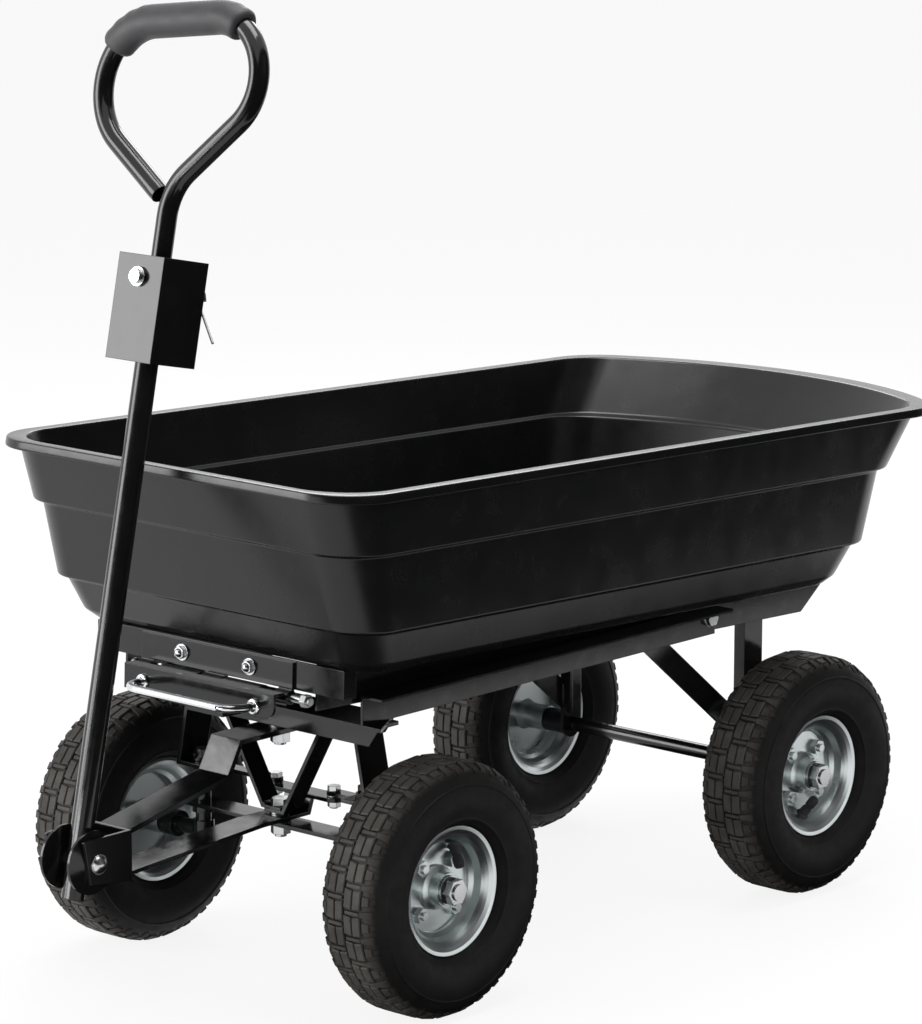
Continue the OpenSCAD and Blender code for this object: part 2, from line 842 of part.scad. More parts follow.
module rear_brace(s) {
  x0 = rear_x + leg_w / 2;
  z0 = axle_z + brace_low;
  x1 = tip_x + brace_reach;
  z1 = tip_z + 1;
  a = atan2(z1 - z0, x1 - x0);
  side(s)
    plate_xz(bed_y - leg_t, leg_t)
      difference() {
        translate([x0, z0])
          rotate(a)
            translate([-brace_w, -brace_w / 2])
              square([brace_w + norm([x1 - x0, z1 - z0]), brace_w]);
        translate([x0 - 2 * brace_w, z0 - 2 * brace_w])
          square([2 * brace_w, 4 * brace_w]);
      }
}

module rear_brace_l() {
  color("#232427")
    place()
      rear_brace(1);
}

module rear_brace_r() {
  color("#232427")
    place()
      rear_brace(-1);
}

module rear_axle() {
  color("#b9bcc0")
    place()
      translate([rear_x, 0, axle_z])
        rod_y(axle_r, -rear_y - axle_end, rear_y + axle_end);
}

module rear_sleeves() {
  color("#232427")
    place()
      both()
        translate([rear_x, 0, axle_z])
          difference() {
            rod_y(sleeve_d / 2, bed_y, rear_y - hub_in - play);
            rod_y(axle_r + fit, bed_y - 1, rear_y);
          }
}

module axle_nut() {
  translate([0, 0, hub_out + play])
    difference() {
      union() {
        cylinder(d = axle_nut_d + 3, h = washer_t);
        cylinder(d = axle_nut_d, h = washer_t + axle_nut_h, $fn = 6);
      }
      translate([0, 0, -1])
        cylinder(r = axle_r + fit, h = washer_t + axle_nut_h + 2);
    }
}

module rear_nuts() {
  color("#b9bcc0") {
    at_wheel(rear_x, rear_y)
      axle_nut();
    at_wheel(rear_x, -rear_y)
      axle_nut();
  }
}

// Front frame

module chassis_rail(s) {
  x0 = tip_x - rail_rear;
  x1 = front_x + rail_front;
  side(s)
    difference() {
      union() {
        translate([x0, rail_y, rail_z])
          cube([x1 - x0, bed_t, rail_h]);
        translate([x0, rail_y, rail_z + rail_h - bed_t])
          cube([x1 - x0, rail_flange, bed_t]);
      }
      translate([tip_x, 0, tip_z])
        rod_y(tip_bolt_d / 2 + fit, rail_y - 1, rail_y + bed_t + 1);
    }
}

module chassis_rail_l() {
  color("#232427")
    place()
      chassis_rail(1);
}

module chassis_rail_r() {
  color("#232427")
    place()
      chassis_rail(-1);
}

module tip_bolts() {
  r = tip_bolt_d / 2;
  color("#b9bcc0")
    place()
      both()
        translate([tip_x, 0, tip_z]) {
          rod_y(r, bed_y - play - tip_bolt_d, rail_y + bed_t + 1);
          rod_y(r * 1.7, rail_y + bed_t, rail_y + bed_t + 1.5);
          translate([0, rail_y + bed_t, 0])
            rotate([-90, 0, 0])
              cylinder(r = r * 1.6, h = 6.5, $fn = 6);
          rod_y(r * 1.7, bed_y + bed_t + play, rail_y);
          translate([0, bed_y - play - tip_bolt_d * 0.8, 0])
            rotate([-90, 0, 0])
              cylinder(r = r * 1.7, h = tip_bolt_d * 0.8, $fn = 6);
        }
}

module bolster_edge(w) {
  low = rail_z - bolster_drop;
  k = w - bolster_slant;
  polygon([[-w, rail_z], [-k, low], [k, low], [w, rail_z]]);
}

module front_bolster() {
  x0 = bolster_x;
  x1 = bolster_x + bolster_l;
  w = bolster_y;
  back = w - bolster_cut;
  color("#232427")
    place()
      difference() {
        union() {
          translate([0, 0, rail_z - bolster_t])
            linear_extrude(bolster_t)
              polygon([[x0, -back], [x1, -w], [x1, w], [x0, back]]);
          plate_yz(x1 - bolster_t, bolster_t)
            bolster_edge(w - 2);
          plate_yz(x0 - bolster_t, bolster_t)
            bolster_edge(back);
          translate([x0 - bolster_t / 2, bolster_slant - back, rail_z - bolster_t])
            cube([bolster_t, 2 * (back - bolster_slant), bolster_t]);
        }
        translate([pin_x, 0, rail_z - bolster_t - 1])
          cylinder(r = tongue_bolt_d / 2 + fit, h = bolster_t + 2);
      }
}

module latch_catch() {
  x0 = bolster_x + bolster_l - 8;
  w = hook_w / 2 + 5;
  color("#232427")
    place() {
      translate([x0, -w, rail_z])
        cube([4, 2 * w, catch_z - rail_z + 2]);
      translate([x0, -w, catch_z - 1.5])
        cube([catch_x - x0, 2 * w, 3.5]);
    }
}

module rest_pads() {
  x1 = bolster_x + 8;
  under = tip_z + ((x1 - tip_x) * sin(bed_pitch) + web_low) / cos(bed_pitch);
  color("#202020")
    place()
      both()
        translate([x1, rail_y - play - pad_w, rail_z])
          cube([pad_l, pad_w, under - rail_z - play]);
}

module front_leg(s) {
  t = leg_top_y;
  f = leg_foot_w / 2;
  z1 = rail_z - bolster_t;
  z0 = foot_z;
  k = front_leg_t;
  side(s)
    difference() {
      plate_yz(front_x - front_leg_w / 2, front_leg_w)
        polygon([[t, z1], [t + leg_tab, z1], [t + leg_tab, z1 - k], [t + k * 1.25, z1 - k],
          [f, z0 + 1], [f, z0], [king_y - axle_d, z0], [king_y - axle_d, z0 + k], [f - k * 1.25, z0 + k]]);
      translate([front_x, king_y, z0 - 1])
        cylinder(r = axle_r + fit, h = k + 2);
    }
}

module front_leg_l() {
  color("#232427")
    place()
      front_leg(1);
}

module front_leg_r() {
  color("#232427")
    place()
      front_leg(-1);
}

module strut(s) {
  t = strut_top_y;
  z0 = strut_z + (s > 0 ? 0 : strut_t);
  z1 = rail_z - bolster_t;
  f = strut_foot;
  tail = strut_t + 1 - strut_foot;
  side(s)
    difference() {
      plate_yz(pin_x - strut_w / 2, strut_w)
        polygon([[tail, z0], [f, z0], [t + strut_t, z1 - strut_t], [t + 18, z1 - strut_t], [t + 18, z1],
          [t, z1], [f - strut_t, z0 + strut_t], [tail, z0 + strut_t]]);
      translate([pin_x, 0, z0 - 1])
        cylinder(r = tongue_bolt_d / 2 + fit, h = strut_t + 2);
    }
}

module strut_l() {
  color("#232427")
    place()
      strut(1);
}

module strut_r() {
  color("#232427")
    place()
      strut(-1);
}

module lower_crossbar() {
  w = cross_w / 2;
  color("#232427")
    place()
      translate([0, 0, cross_z])
        difference() {
          translate([front_x - cross_l / 2, -w, 0])
            cube([cross_l, 2 * w, leg_t]);
          translate([pin_x, 0, -1])
            cylinder(r = tongue_bolt_d / 2 + fit, h = leg_t + 2);
          for (s = [-1, 1])
            translate([front_x, s * king_y, -1])
              cylinder(r = axle_r + fit, h = leg_t + 2);
        }
}

module tongue_bolts() {
  r = tongue_bolt_d / 2;
  top = strut_z + 2 * strut_t;
  color("#b9bcc0")
    place()
      translate([pin_x, 0, 0]) {
        translate([0, 0, upper_z - 16])
          cylinder(r = r, h = rail_z + 1 - upper_z + 16);
        translate([0, 0, rail_z])
          cylinder(r = r * 1.7, h = 7, $fn = 6);
        translate([0, 0, upper_z + upper_t + play])
          cylinder(r = r * 2, h = rail_z - bolster_t - upper_z - upper_t - play);
        translate([0, 0, upper_z - play - 2.5])
          cylinder(r = r * 2.1, h = 2.5);
        translate([0, 0, upper_z - play - 13])
          cylinder(r = r * 1.7, h = 11, $fn = 6);
        translate([0, 0, cross_z - 12])
          cylinder(r = r, h = top + 1 - cross_z + 12);
        translate([0, 0, top])
          cylinder(r = r * 1.7, h = 7, $fn = 6);
        translate([0, 0, lower_z + lower_t + play])
          cylinder(r = r * 1.8, h = strut_z - lower_z - lower_t - play);
        translate([0, 0, cross_z + leg_t])
          cylinder(r = r * 1.8, h = lower_z - play - cross_z - leg_t);
        translate([0, 0, cross_z - 9])
          cylinder(r = r * 1.7, h = 9, $fn = 6);
      }
}

// Latch

module latch_eye(y0, y1, r) {
  translate([latch_u, 0, -latch_drop])
    rod_y(r, y0, y1);
}

module latch_plate() {
  w = latch_w / 2;
  low = bed_top - front_plate_h + 0.5;
  color("#232427")
    at_bed()
      difference() {
        union() {
          translate([plate_u, -w, low])
            cube([bed_t, latch_w, bed_top - 1.5 - low]);
          for (y = [-w, -14, w - 18]) {
            e = y == -14 ? 28 : 18;
            translate([plate_u, y, -latch_drop])
              cube([bed_t, e, low + latch_drop + 1]);
            latch_eye(y, y + e, eye_r);
          }
        }
        latch_eye(-w - 1, w + 1, latch_rod_d / 2 + fit);
        latch_bolt_holes(latch_bolt_d / 2 + fit);
      }
}

module latch_bolts() {
  r = latch_bolt_d / 2;
  color("#b9bcc0")
    at_bed()
      for (s = [-1, 1])
        translate([bed_front, s * latch_bolt_w / 2, bed_top - front_plate_h / 2])
          rotate([0, 90, 0]) {
            translate([0, 0, -5])
              cylinder(r = r * 1.8, h = 5, $fn = 6);
            translate([0, 0, -1])
              cylinder(r = r, h = 2 * bed_t + 6);
            translate([0, 0, 2 * bed_t])
              cylinder(r = r * 2.1, h = 1.5);
            translate([0, 0, 2 * bed_t])
              cylinder(r = r * 1.6, h = 5.5, $fn = 6);
            translate([0, 0, 2 * bed_t + 4])
              sphere(r = r * 1.2);
          }
}

module latch_rod() {
  w = latch_w / 2;
  color("#b9bcc0")
    at_bed() {
      latch_eye(-w - 8, w + 26, latch_rod_d / 2);
      latch_eye(-w - 8, -w - 4, latch_rod_d * 0.8);
      translate([latch_u, w + 16, -latch_drop])
        rotate([-90, 0, 0])
          cylinder(r = latch_rod_d * 0.85, h = 7, $fn = 6);
    }
}

module latch_lever() {
  w = latch_w / 2 - 1;
  z1 = -latch_drop + 6;
  hz = -latch_drop - hook_drop;
  color("#232427")
    at_bed()
      difference() {
        union() {
          for (s = [-1, 1])
            latch_eye(s * lever_eye_y - lever_eye_l / 2, s * lever_eye_y + lever_eye_l / 2, eye_r);
          for (s = [-1, 1])
            translate([latch_u, s * lever_eye_y - lever_eye_l / 2, z1 - bed_t])
              cube([lip_reach, lever_eye_l, bed_t]);
          translate([latch_u + 9, -w, z1 - bed_t])
            cube([lip_reach - 9, 2 * w, bed_t]);
          plate_yz(lever_u, bed_t)
            union() {
              translate([-w, z1 - lever_lip_h])
                square([2 * w - 12, lever_lip_h]);
              translate([-w, z1 - lever_lip_h + 12])
                square([2 * w, lever_lip_h - 12]);
              translate([w - 12, z1 - lever_lip_h + 12])
                circle(r = 12);
            }
          translate([lever_u - 9, -hook_w / 2, hz - bed_t])
            cube([bed_t, hook_w, z1 - hz + bed_t - 1]);
          translate([hook_tip, -hook_w / 2, hz - bed_t])
            cube([lever_u - 9 - hook_tip + 1, hook_w, bed_t]);
          translate([hook_tip, -hook_w / 2, hz - bed_t])
            cube([bed_t, hook_w, bed_t + 6]);
        }
        latch_eye(-w, w, latch_rod_d / 2 + fit);
      }
}

module pull_handle() {
  y = (pull_w - pull_d) / 2;
  color("#d5d8db")
    at_bed()
      translate([lever_u + bed_t, 0, -latch_drop + 6 - lever_lip_h * 0.62])
        rotate([0, 90, 0]) {
          bent_bar(walk(pull_path, 0, [-y, 0], 0), pull_d, pull_sides);
          for (s = [-1, 1])
            translate([0, s * y, 0])
              cylinder(d = pull_d * 2, h = pull_foot);
        }
}

// Steering

module knuckle(s) {
  ex = -arm_back;
  ey = arm_out;
  top = foot_z + front_leg_t;
  place()
    side(s)
      translate([front_x, king_y, 0]) {
        translate([0, 0, axle_z])
          cylinder(r = axle_r, h = top + 12 - axle_z);
        translate([0, 0, axle_z - king_boss / 2])
          cylinder(d = king_boss, h = king_boss);
        translate([0, 0, axle_z])
          rod_y(axle_r, 0, front_y - king_y + axle_end);
        translate([0, 0, axle_z])
          rod_y(axle_r * 1.7, front_y - king_y - hub_in - play - 20, front_y - king_y - hub_in - play);
        translate([0, 0, cross_z - play - 7])
          cylinder(r = axle_r * 1.4, h = 7);
        translate([0, 0, top + play])
          cylinder(r = axle_r * 1.35, h = 2.5);
        translate([0, 0, top + 7])
          rotate([0, 90, 0])
            translate([0, 0, -13])
              cylinder(r = 1.6, h = 26);
        translate([0, 0, arm_z])
          linear_extrude(arm_t)
            union() {
              circle(r = axle_r * 1.7);
              rotate(atan2(ey, ex))
                link_2d(norm([ex, ey]), arm_w);
            }
        translate([ex, ey, arm_z])
          cylinder(d = tie_bolt_d, h = rod_z - arm_z + arm_t + play + 4);
        translate([ex, ey, rod_z + arm_t + play])
          cylinder(d = arm_w - 2, h = 2);
        translate([ex, ey, rod_z + arm_t + play])
          cylinder(d = tie_bolt_d * 1.7, h = 4.5, $fn = 6);
        translate([ex, ey, arm_z + arm_t - 1])
          cylinder(d = arm_w - 2, h = rod_z - play - arm_z - arm_t + 1);
      }
}

module knuckle_l() {
  color("#2a2b2e")
    knuckle(1);
}

module knuckle_r() {
  color("#2a2b2e")
    knuckle(-1);
}

module front_nut_l() {
  color("#b9bcc0")
    at_wheel(front_x, front_y)
      axle_nut();
}

module front_nut_r() {
  color("#b9bcc0")
    at_wheel(front_x, -front_y)
      axle_nut();
}

module tie_rod(s) {
  place()
    side(s)
      translate([tie_x, tie_y, rod_z])
        rotate(rod_a)
          linear_extrude(arm_t)
            difference() {
              union() {
                link_2d(rod_l, rod_w);
                translate([rod_l, 0])
                  circle(d = rod_w + rod_eye);
              }
              circle(r = tie_bolt_d / 2 + fit);
              translate([rod_l, 0])
                circle(r = tie_bolt_d / 2 + rod_room);
            }
}

module tie_rod_l() {
  color("#2a2b2e")
    tie_rod(1);
}

module tie_rod_r() {
  color("#2a2b2e")
    tie_rod(-1);
}

module tie_bolts() {
  r = tie_bolt_d / 2;
  color("#b9bcc0")
    place()
      both()
        translate([tie_x, tie_y, 0]) {
          translate([0, 0, shelf_z - 8])
            cylinder(r = r, h = rod_z + arm_t + 8 - shelf_z + 2);
          translate([0, 0, shelf_z + lower_t])
            cylinder(r = r * 1.8, h = tie_washer);
          translate([0, 0, rod_z + arm_t + play])
            cylinder(r = r * 1.7, h = 5, $fn = 6);
          translate([0, 0, shelf_z - 6.5])
            cylinder(r = r * 1.7, h = 6.5, $fn = 6);
        }
}

module tongue_upper() {
  t = upper_t;
  x1 = pin_x + upper_level;
  x2 = x1 + upper_drop * 0.56;
  z1 = fork_z + fork_h / 2 - 3;
  color("#232427")
    place()
      difference() {
        union() {
          plate_xz(-upper_w / 2, upper_w)
            polygon([[pin_x, upper_z], [x1 - t * 0.55, upper_z], [x2 - t * 0.7, upper_z - upper_drop],
              [fork_back, z1 - t], [fork_back, z1], [x2, upper_z - upper_drop + t], [x1, upper_z + t],
              [pin_x, upper_z + t]]);
          translate([pin_x, 0, upper_z])
            cylinder(d = upper_w, h = t);
        }
        translate([pin_x, 0, upper_z - 1])
          cylinder(r = tongue_bolt_d / 2 + fit, h = t + 2);
      }
}

module tongue_lower() {
  t = lower_t;
  x1 = pin_x + lower_level;
  z1 = fork_low + 1;
  tail = tie_x - tail_l / 2;
  s1 = pin_x - step_back;
  s2 = s1 - step_run;
  color("#232427")
    place()
      difference() {
        union() {
          plate_xz(-lower_w / 2, lower_w)
            polygon([[tail, shelf_z], [s2 - t, shelf_z], [s1 - t, lower_z], [x1, lower_z],
              [fork_back, z1], [fork_back, z1 + t], [x1, lower_z + t], [s1, lower_z + t],
              [s2, shelf_z + t], [tail, shelf_z + t]]);
          translate([tie_x, (tail_l - tail_w) / 2, shelf_z])
            rotate([0, 0, 90])
              linear_extrude(t)
                link_2d(tail_w - tail_l, tail_l);
        }
        translate([pin_x, 0, lower_z - 1])
          cylinder(r = tongue_bolt_d / 2 + fit, h = t + 2);
        for (s = [-1, 1])
          translate([tie_x, s * tie_y, shelf_z - 1])
            cylinder(r = tie_bolt_d / 2 + fit, h = t + 2);
      }
}

module fork() {
  x1 = fork_x + fork_nose;
  z1 = fork_low + fork_h;
  color("#232427")
    place()
      difference() {
        union() {
          translate([fork_back, -fork_w / 2, fork_low])
            cube([fork_t, fork_w, fork_h]);
          both()
            plate_xz(cheek_y, fork_t)
              polygon([[fork_back, fork_low], [x1 - 8, fork_low + 6], [x1, z1 - 1], [x1 - 5, z1],
                [fork_back, z1]]);
        }
        translate([fork_x, 0, fork_z])
          rod_y(fork_bolt_d / 2 + fit, -fork_w, fork_w);
      }
}

module pivot_discs() {
  r = disc_d / 2;
  y0 = handle_d / 2 + 2 + play;
  y1 = cheek_y;
  color("#2a2b2e")
    place()
      both()
        translate([fork_x, 0, fork_z])
          rotate([-90, 0, 0])
            rotate_extrude()
              polygon([[fork_bolt_d / 2 + fit, y0], [r * 0.42, y0], [r, y0 + disc_dish],
                [r, y0 + disc_dish + 3], [r * 0.45, y1], [fork_bolt_d / 2 + fit, y1]]);
}

module fork_bolt() {
  r = fork_bolt_d / 2;
  y = fork_w / 2;
  color("#c9ccd0")
    place()
      translate([fork_x, 0, fork_z]) {
        rod_y(r, -y - 10, y + 1);
        rod_y(r * 2, y, y + 1.5);
        translate([0, y - r * 0.6, 0])
          intersection() {
            sphere(r = r * 2);
            rod_y(r * 1.7, r * 0.6, r * 2);
          }
        translate([0, -y - 8, 0])
          rotate([-90, 0, 0])
            cylinder(r = r * 1.7, h = 8, $fn = 6);
      }
}

// Handle

module handle_tube() {
  y = handle_d / 2 + 2;
  color("#232427")
    at_handle()
      difference() {
        union() {
          translate([0, 0, -handle_down])
            cylinder(d = handle_d, h = handle_down + handle_up);
          rod_y(fork_bolt_d / 2 + 3, -y, y);
        }
        translate([0, 0, handle_up - neck_in - 20])
          cylinder(r = loop_d / 2 + slide_gap, h = neck_in + 21);
        rod_y(fork_bolt_d / 2 + fit, -y - 1, y + 1);
        hitch_bore();
      }
}

module hitch_bore() {
  translate([-bracket_back - 1, 0, handle_up + bracket_t - pin_drop])
    rotate([0, 90, 0])
      cylinder(r = pin_d / 2 + fit, h = bracket_back + bracket_front + 2);
}

module tow_bracket() {
  w = bracket_w / 2;
  l = bracket_back + bracket_front;
  t = bracket_t;
  color("#232427")
    at_handle()
      difference() {
        union() {
          translate([bracket_front - t, -w, bracket_low])
            cube([t, bracket_w, bracket_h]);
          translate([-bracket_back, -w, bracket_low])
            cube([t, bracket_w, bracket_h]);
          translate([-bracket_back, w - t, bracket_low])
            cube([l, t, bracket_h]);
          translate([-bracket_back, -w, handle_up])
            cube([l, bracket_w, t]);
        }
        translate([0, 0, handle_up - 1])
          cylinder(r = loop_d / 2 + slide_gap, h = t + 2);
        hitch_bore();
      }
}

module handle_loop() {
  color("#232427")
    at_handle()
      difference() {
        bent_tube(loop_run, loop_d, loop_d - 2 * loop_wall, loop_sides);
        hitch_bore();
      }
}

module grip() {
  color("#3a3a3c")
    at_handle()
      bent_tube(grip_run, grip_d, loop_d + 2 * slide_gap, loop_sides);
}

module hitch_pin() {
  r = pin_d / 2;
  z = handle_up + bracket_t - pin_drop;
  color("#c9ccd0")
    at_handle()
      translate([0, 0, z])
        rotate([0, 90, 0])
          difference() {
            union() {
              translate([0, 0, -bracket_back - pin_tail])
                cylinder(r = r, h = bracket_back + pin_tail + bracket_front + 1);
              translate([0, 0, bracket_front])
                cylinder(r = r * 1.9, h = 3);
              translate([0, 0, bracket_front])
                cylinder(r = r * 1.4, h = 7);
            }
            translate([0, 0, -bracket_back - pin_tail * 0.5])
              rotate([90, 0, clip_a - 90])
                cylinder(d = clip_d + 2 * play, h = pin_d + 2, center = true);
          }
}

module hitch_clip() {
  color("#c9ccd0")
    at_handle()
      translate([-bracket_back - pin_tail * 0.5, 0, handle_up + bracket_t - pin_drop])
        rotate([clip_a, 0, 0])
          bent_bar(walk(clip_path, 0, [0, clip_past - clip_leg], 0), clip_d, clip_sides);
}

// Wheels

// Face of a rim's flange toward the tyre, from its seat to its edge
function flare_r(s) = seat_r + (rim_r - seat_r) * s;
function flare_y(s) = rim_w / 2 - rim_t - rim_flare * (1 - s) * (1 - s);

module tyre_section() {
  w = tyre_w / 2;
  r = axle_z;
  b = seat_r + bead_gap;
  f = rim_w / 2 - rim_t - bead_gap;
  g = tread_w / 2;
  k = tyre_wall;
  bead = [for (s = flare_steps) [flare_r(s) + bead_gap, flare_y(s) - bead_gap]];
  outer = concat([[b, f - rim_flare - 8]], bead, [[rim_r + 2, rim_w / 2 + 1.5], [rim_r + 10, w - 5.5],
    [r * 0.69, w - 1.2], [r * 0.75, w], [r * 0.79, w], [r * 0.87, w - 1.6], [r * 0.94, w - 4],
    [r * 0.975, w - 9], [r, g]]);
  tread = [[r, g * 0.66], [r - groove_depth, g * 0.62], [r - groove_depth, g * 0.48], [r, g * 0.44],
    [r, g * 0.12], [r - groove_depth, g * 0.08]];
  inner = [[r - k - 2, g * 0.9], [r * 0.93 - k, w - 10], [r * 0.79 - 2, w - k], [r * 0.73, w - k],
    [rim_r + 10, w - 12], [rim_r + 2, f - 7]];
  n = len(inner);
  half = concat(outer, tread);
  m = len(half);
  polygon(concat(
    half,
    [for (i = [0:m - 1]) [half[m - 1 - i][0], -half[m - 1 - i][1]]],
    [for (i = [0:n - 1]) [inner[n - 1 - i][0], -inner[n - 1 - i][1]]],
    inner
  ));
}

module tyre(x, y) {
  color("#2b2a29")
    at_wheel(x, y)
      rotate_extrude()
        tyre_section();
}

module tyre_fl() {
  tyre(front_x, front_y);
}

module tyre_fr() {
  tyre(front_x, -front_y);
}

module tyre_rl() {
  tyre(rear_x, rear_y);
}

module tyre_rr() {
  tyre(rear_x, -rear_y);
}

module rim_section() {
  w = rim_w / 2;
  t = rim_t;
  well = seat_r - rim_well;
  h = hub_d / 2;
  n = len(flare_steps) - 1;
  flange = [for (i = [0:n]) [flare_r(flare_steps[n - i]), flare_y(flare_steps[n - i])]];
  face = [for (s = flare_steps) [flare_r(s) - 1.5 * (1 - s), flare_y(s) + t]];
  outer = concat([[rim_r, w]], flange, [[seat_r - 2, 10], [well, 6]]);
  m = len(outer);
  f = len(face) - 1;
  polygon(concat(
    outer,
    [for (i = [0:m - 1]) [outer[m - 1 - i][0], -outer[m - 1 - i][1]]],
    [for (i = [1:f]) [face[f - i][0], -face[f - i][1]]],
    [[seat_r - 2 - t, -11], [well - t, -7.5], [well - t, 1], [h, 1], [h - 3, -6], [h - 3, -hub_in],
      [axle_r + fit, -hub_in], [axle_r + fit, hub_out], [h, hub_out], [h, 10], [h + 5, 8],
      [h + 5, 1 + t + 0.5], [well - t, 1 + t + 0.5], [well - t, 7.5], [seat_r - 2 - t, 11]],
    [for (i = [0:f - 1]) face[i]]
  ));
}

module rim(x, y) {
  color("#c3c6c9")
    at_wheel(x, y) {
      rotate_extrude()
        rim_section();
      for (i = [0:3])
        rotate([0, 0, 45 + 90 * i])
          translate([rim_nut_r, 0, rim_t]) {
            cylinder(d = rim_nut_d, h = 8.5, $fn = 6);
            cylinder(d = rim_nut_d * 0.5, h = 11.5);
          }
    }
}

module rim_fl() {
  rim(front_x, front_y);
}

module rim_fr() {
  rim(front_x, -front_y);
}

module rim_rl() {
  rim(rear_x, rear_y);
}

module rim_rr() {
  rim(rear_x, -rear_y);
}

tub();
tub_bolts();
bed_rail_l();
bed_rail_r();
bed_front_plate();
bed_crossbars();
rear_leg_l();
rear_leg_r();
rear_brace_l();
rear_brace_r();
rear_axle();
rear_sleeves();
rear_nuts();
chassis_rail_l();
chassis_rail_r();
tip_bolts();
front_bolster();
latch_catch();
rest_pads();
front_leg_l();
front_leg_r();
strut_l();
strut_r();
lower_crossbar();
tongue_bolts();
latch_plate();
latch_bolts();
latch_rod();
latch_lever();
pull_handle();
knuckle_l();
knuckle_r();
front_nut_l();
front_nut_r();
tie_rod_l();
tie_rod_r();
tie_bolts();
tongue_upper();
tongue_lower();
fork();
pivot_discs();
fork_bolt();
handle_tube();
tow_bracket();
handle_loop();
grip();
hitch_pin();
hitch_clip();
tyre_fl();
tyre_fr();
tyre_rl();
tyre_rr();
rim_fl();
rim_fr();
rim_rl();
rim_rr();
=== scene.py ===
import bpy
import bmesh
import json
import math
from mathutils import Matrix, Vector


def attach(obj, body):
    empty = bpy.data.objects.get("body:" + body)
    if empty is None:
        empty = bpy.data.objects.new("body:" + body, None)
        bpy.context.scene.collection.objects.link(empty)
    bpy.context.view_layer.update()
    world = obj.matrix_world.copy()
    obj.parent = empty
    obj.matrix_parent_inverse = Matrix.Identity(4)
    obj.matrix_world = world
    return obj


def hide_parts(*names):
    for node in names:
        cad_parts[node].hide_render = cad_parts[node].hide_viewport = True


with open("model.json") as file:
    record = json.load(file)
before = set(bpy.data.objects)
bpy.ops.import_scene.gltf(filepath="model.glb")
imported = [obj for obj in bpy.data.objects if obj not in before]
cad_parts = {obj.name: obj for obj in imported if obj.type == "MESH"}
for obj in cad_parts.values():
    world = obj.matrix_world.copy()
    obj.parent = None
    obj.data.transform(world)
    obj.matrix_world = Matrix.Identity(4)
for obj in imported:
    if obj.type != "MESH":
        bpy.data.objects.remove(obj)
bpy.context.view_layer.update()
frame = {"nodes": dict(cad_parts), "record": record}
nodes = frame["nodes"]

# Sizes shared with the solids, in millimetres, with angles in radians
TYRE_R, FRONT_X, FRONT_Y, REAR_Y = 127.0, 293.0, 199.0, 190.0
TIP_X, TIP_Z, PITCH = -205.0, 300.0, math.radians(2.1)
BED_TOP, BED_Y, LEG_T = 29.5, 128.0, 4.0
FORK_X, FORK_Z, LEAN, DISC_R = 574.0, 175.0, math.radians(12.0), 31.0
HANDLE_UP, LOOP_IN, TUBE_R = 574.0, 60.0, 10.0
TUB_FRONT, TUB_L, TUB_W, TUB_H, WALL, LIP_H = 676.0, 1004.0, 496.0, 185.0, 4.0, 9.0
TUB_REAR = TUB_L - TUB_FRONT
# The cart's rearmost point, and its middle, where the shared frame has its origin
X_MIN = TIP_X - TUB_REAR * math.cos(PITCH) - (BED_TOP + TUB_H - LIP_H / 3) * math.sin(PITCH)
X_MID = (FORK_X + DISC_R + X_MIN) / 2
# Millimetres in a metre
MM = 1000.0


def row(x, y, z):
    """A point of the cart's construction frame, in metres of the shared frame."""
    return Vector(((x - X_MID) / MM, y / MM, z / MM))


def bed(u, y, w):
    """A point ahead of and above the tipping pivot, in the bed's pitched frame."""
    c, s = math.cos(PITCH), math.sin(PITCH)
    return row(TIP_X + u * c - w * s, y, TIP_Z + u * s + w * c)


def handle(x, y, up):
    """A point ahead of the leaning handle and up along it from the fork's bolt."""
    c, s = math.cos(LEAN), math.sin(LEAN)
    return row(FORK_X + x * c - up * s, y, FORK_Z + x * s + up * c)


# Material helpers

# Range that most values of a noise texture lie in
NOISE_LOW, NOISE_HIGH = 0.3, 0.7
# Places of a colour Mix node's sockets among its inputs and outputs
MIX_FACTOR, MIX_A, MIX_B, MIX_RESULT = 0, 6, 7, 2


def start(name):
    """A new material with its node tree, its shader and its object coordinates."""
    m = bpy.data.materials.new(name)
    m.use_nodes = True
    nt = m.node_tree
    coord = nt.nodes.new("ShaderNodeTexCoord")
    return m, nt, nt.nodes["Principled BSDF"], coord.outputs["Object"]


def noise(nt, vec, scale, detail, rough, stretch=None):
    """A noise over coordinates in metres, which stretch makes finer along an axis."""
    if stretch:
        mp = nt.nodes.new("ShaderNodeMapping")
        mp.inputs["Scale"].default_value = stretch
        nt.links.new(vec, mp.inputs["Vector"])
        vec = mp.outputs["Vector"]
    n = nt.nodes.new("ShaderNodeTexNoise")
    n.inputs["Scale"].default_value = scale
    n.inputs["Detail"].default_value = detail
    n.inputs["Roughness"].default_value = rough
    nt.links.new(vec, n.inputs["Vector"])
    return n.outputs["Fac"]


def ramp(nt, fac, stops):
    """A colour that runs between two (position, colour) stops."""
    r = nt.nodes.new("ShaderNodeValToRGB")
    for e, (position, colour) in zip(r.color_ramp.elements, stops):
        e.position = position
        e.color = (*colour, 1.0)
    nt.links.new(fac, r.inputs["Fac"])
    return r.outputs["Color"]


def tint(nt, shader, fac, stops):
    """Gives a shader a base colour that follows a noise."""
    nt.links.new(ramp(nt, fac, stops), shader.inputs["Base Color"])


def roughen(nt, shader, fac, low, high):
    """Gives a shader a roughness from low to high that follows a noise."""
    r = nt.nodes.new("ShaderNodeMapRange")
    r.inputs["From Min"].default_value = NOISE_LOW
    r.inputs["From Max"].default_value = NOISE_HIGH
    r.inputs["To Min"].default_value = low
    r.inputs["To Max"].default_value = high
    nt.links.new(fac, r.inputs["Value"])
    nt.links.new(r.outputs["Result"], shader.inputs["Roughness"])


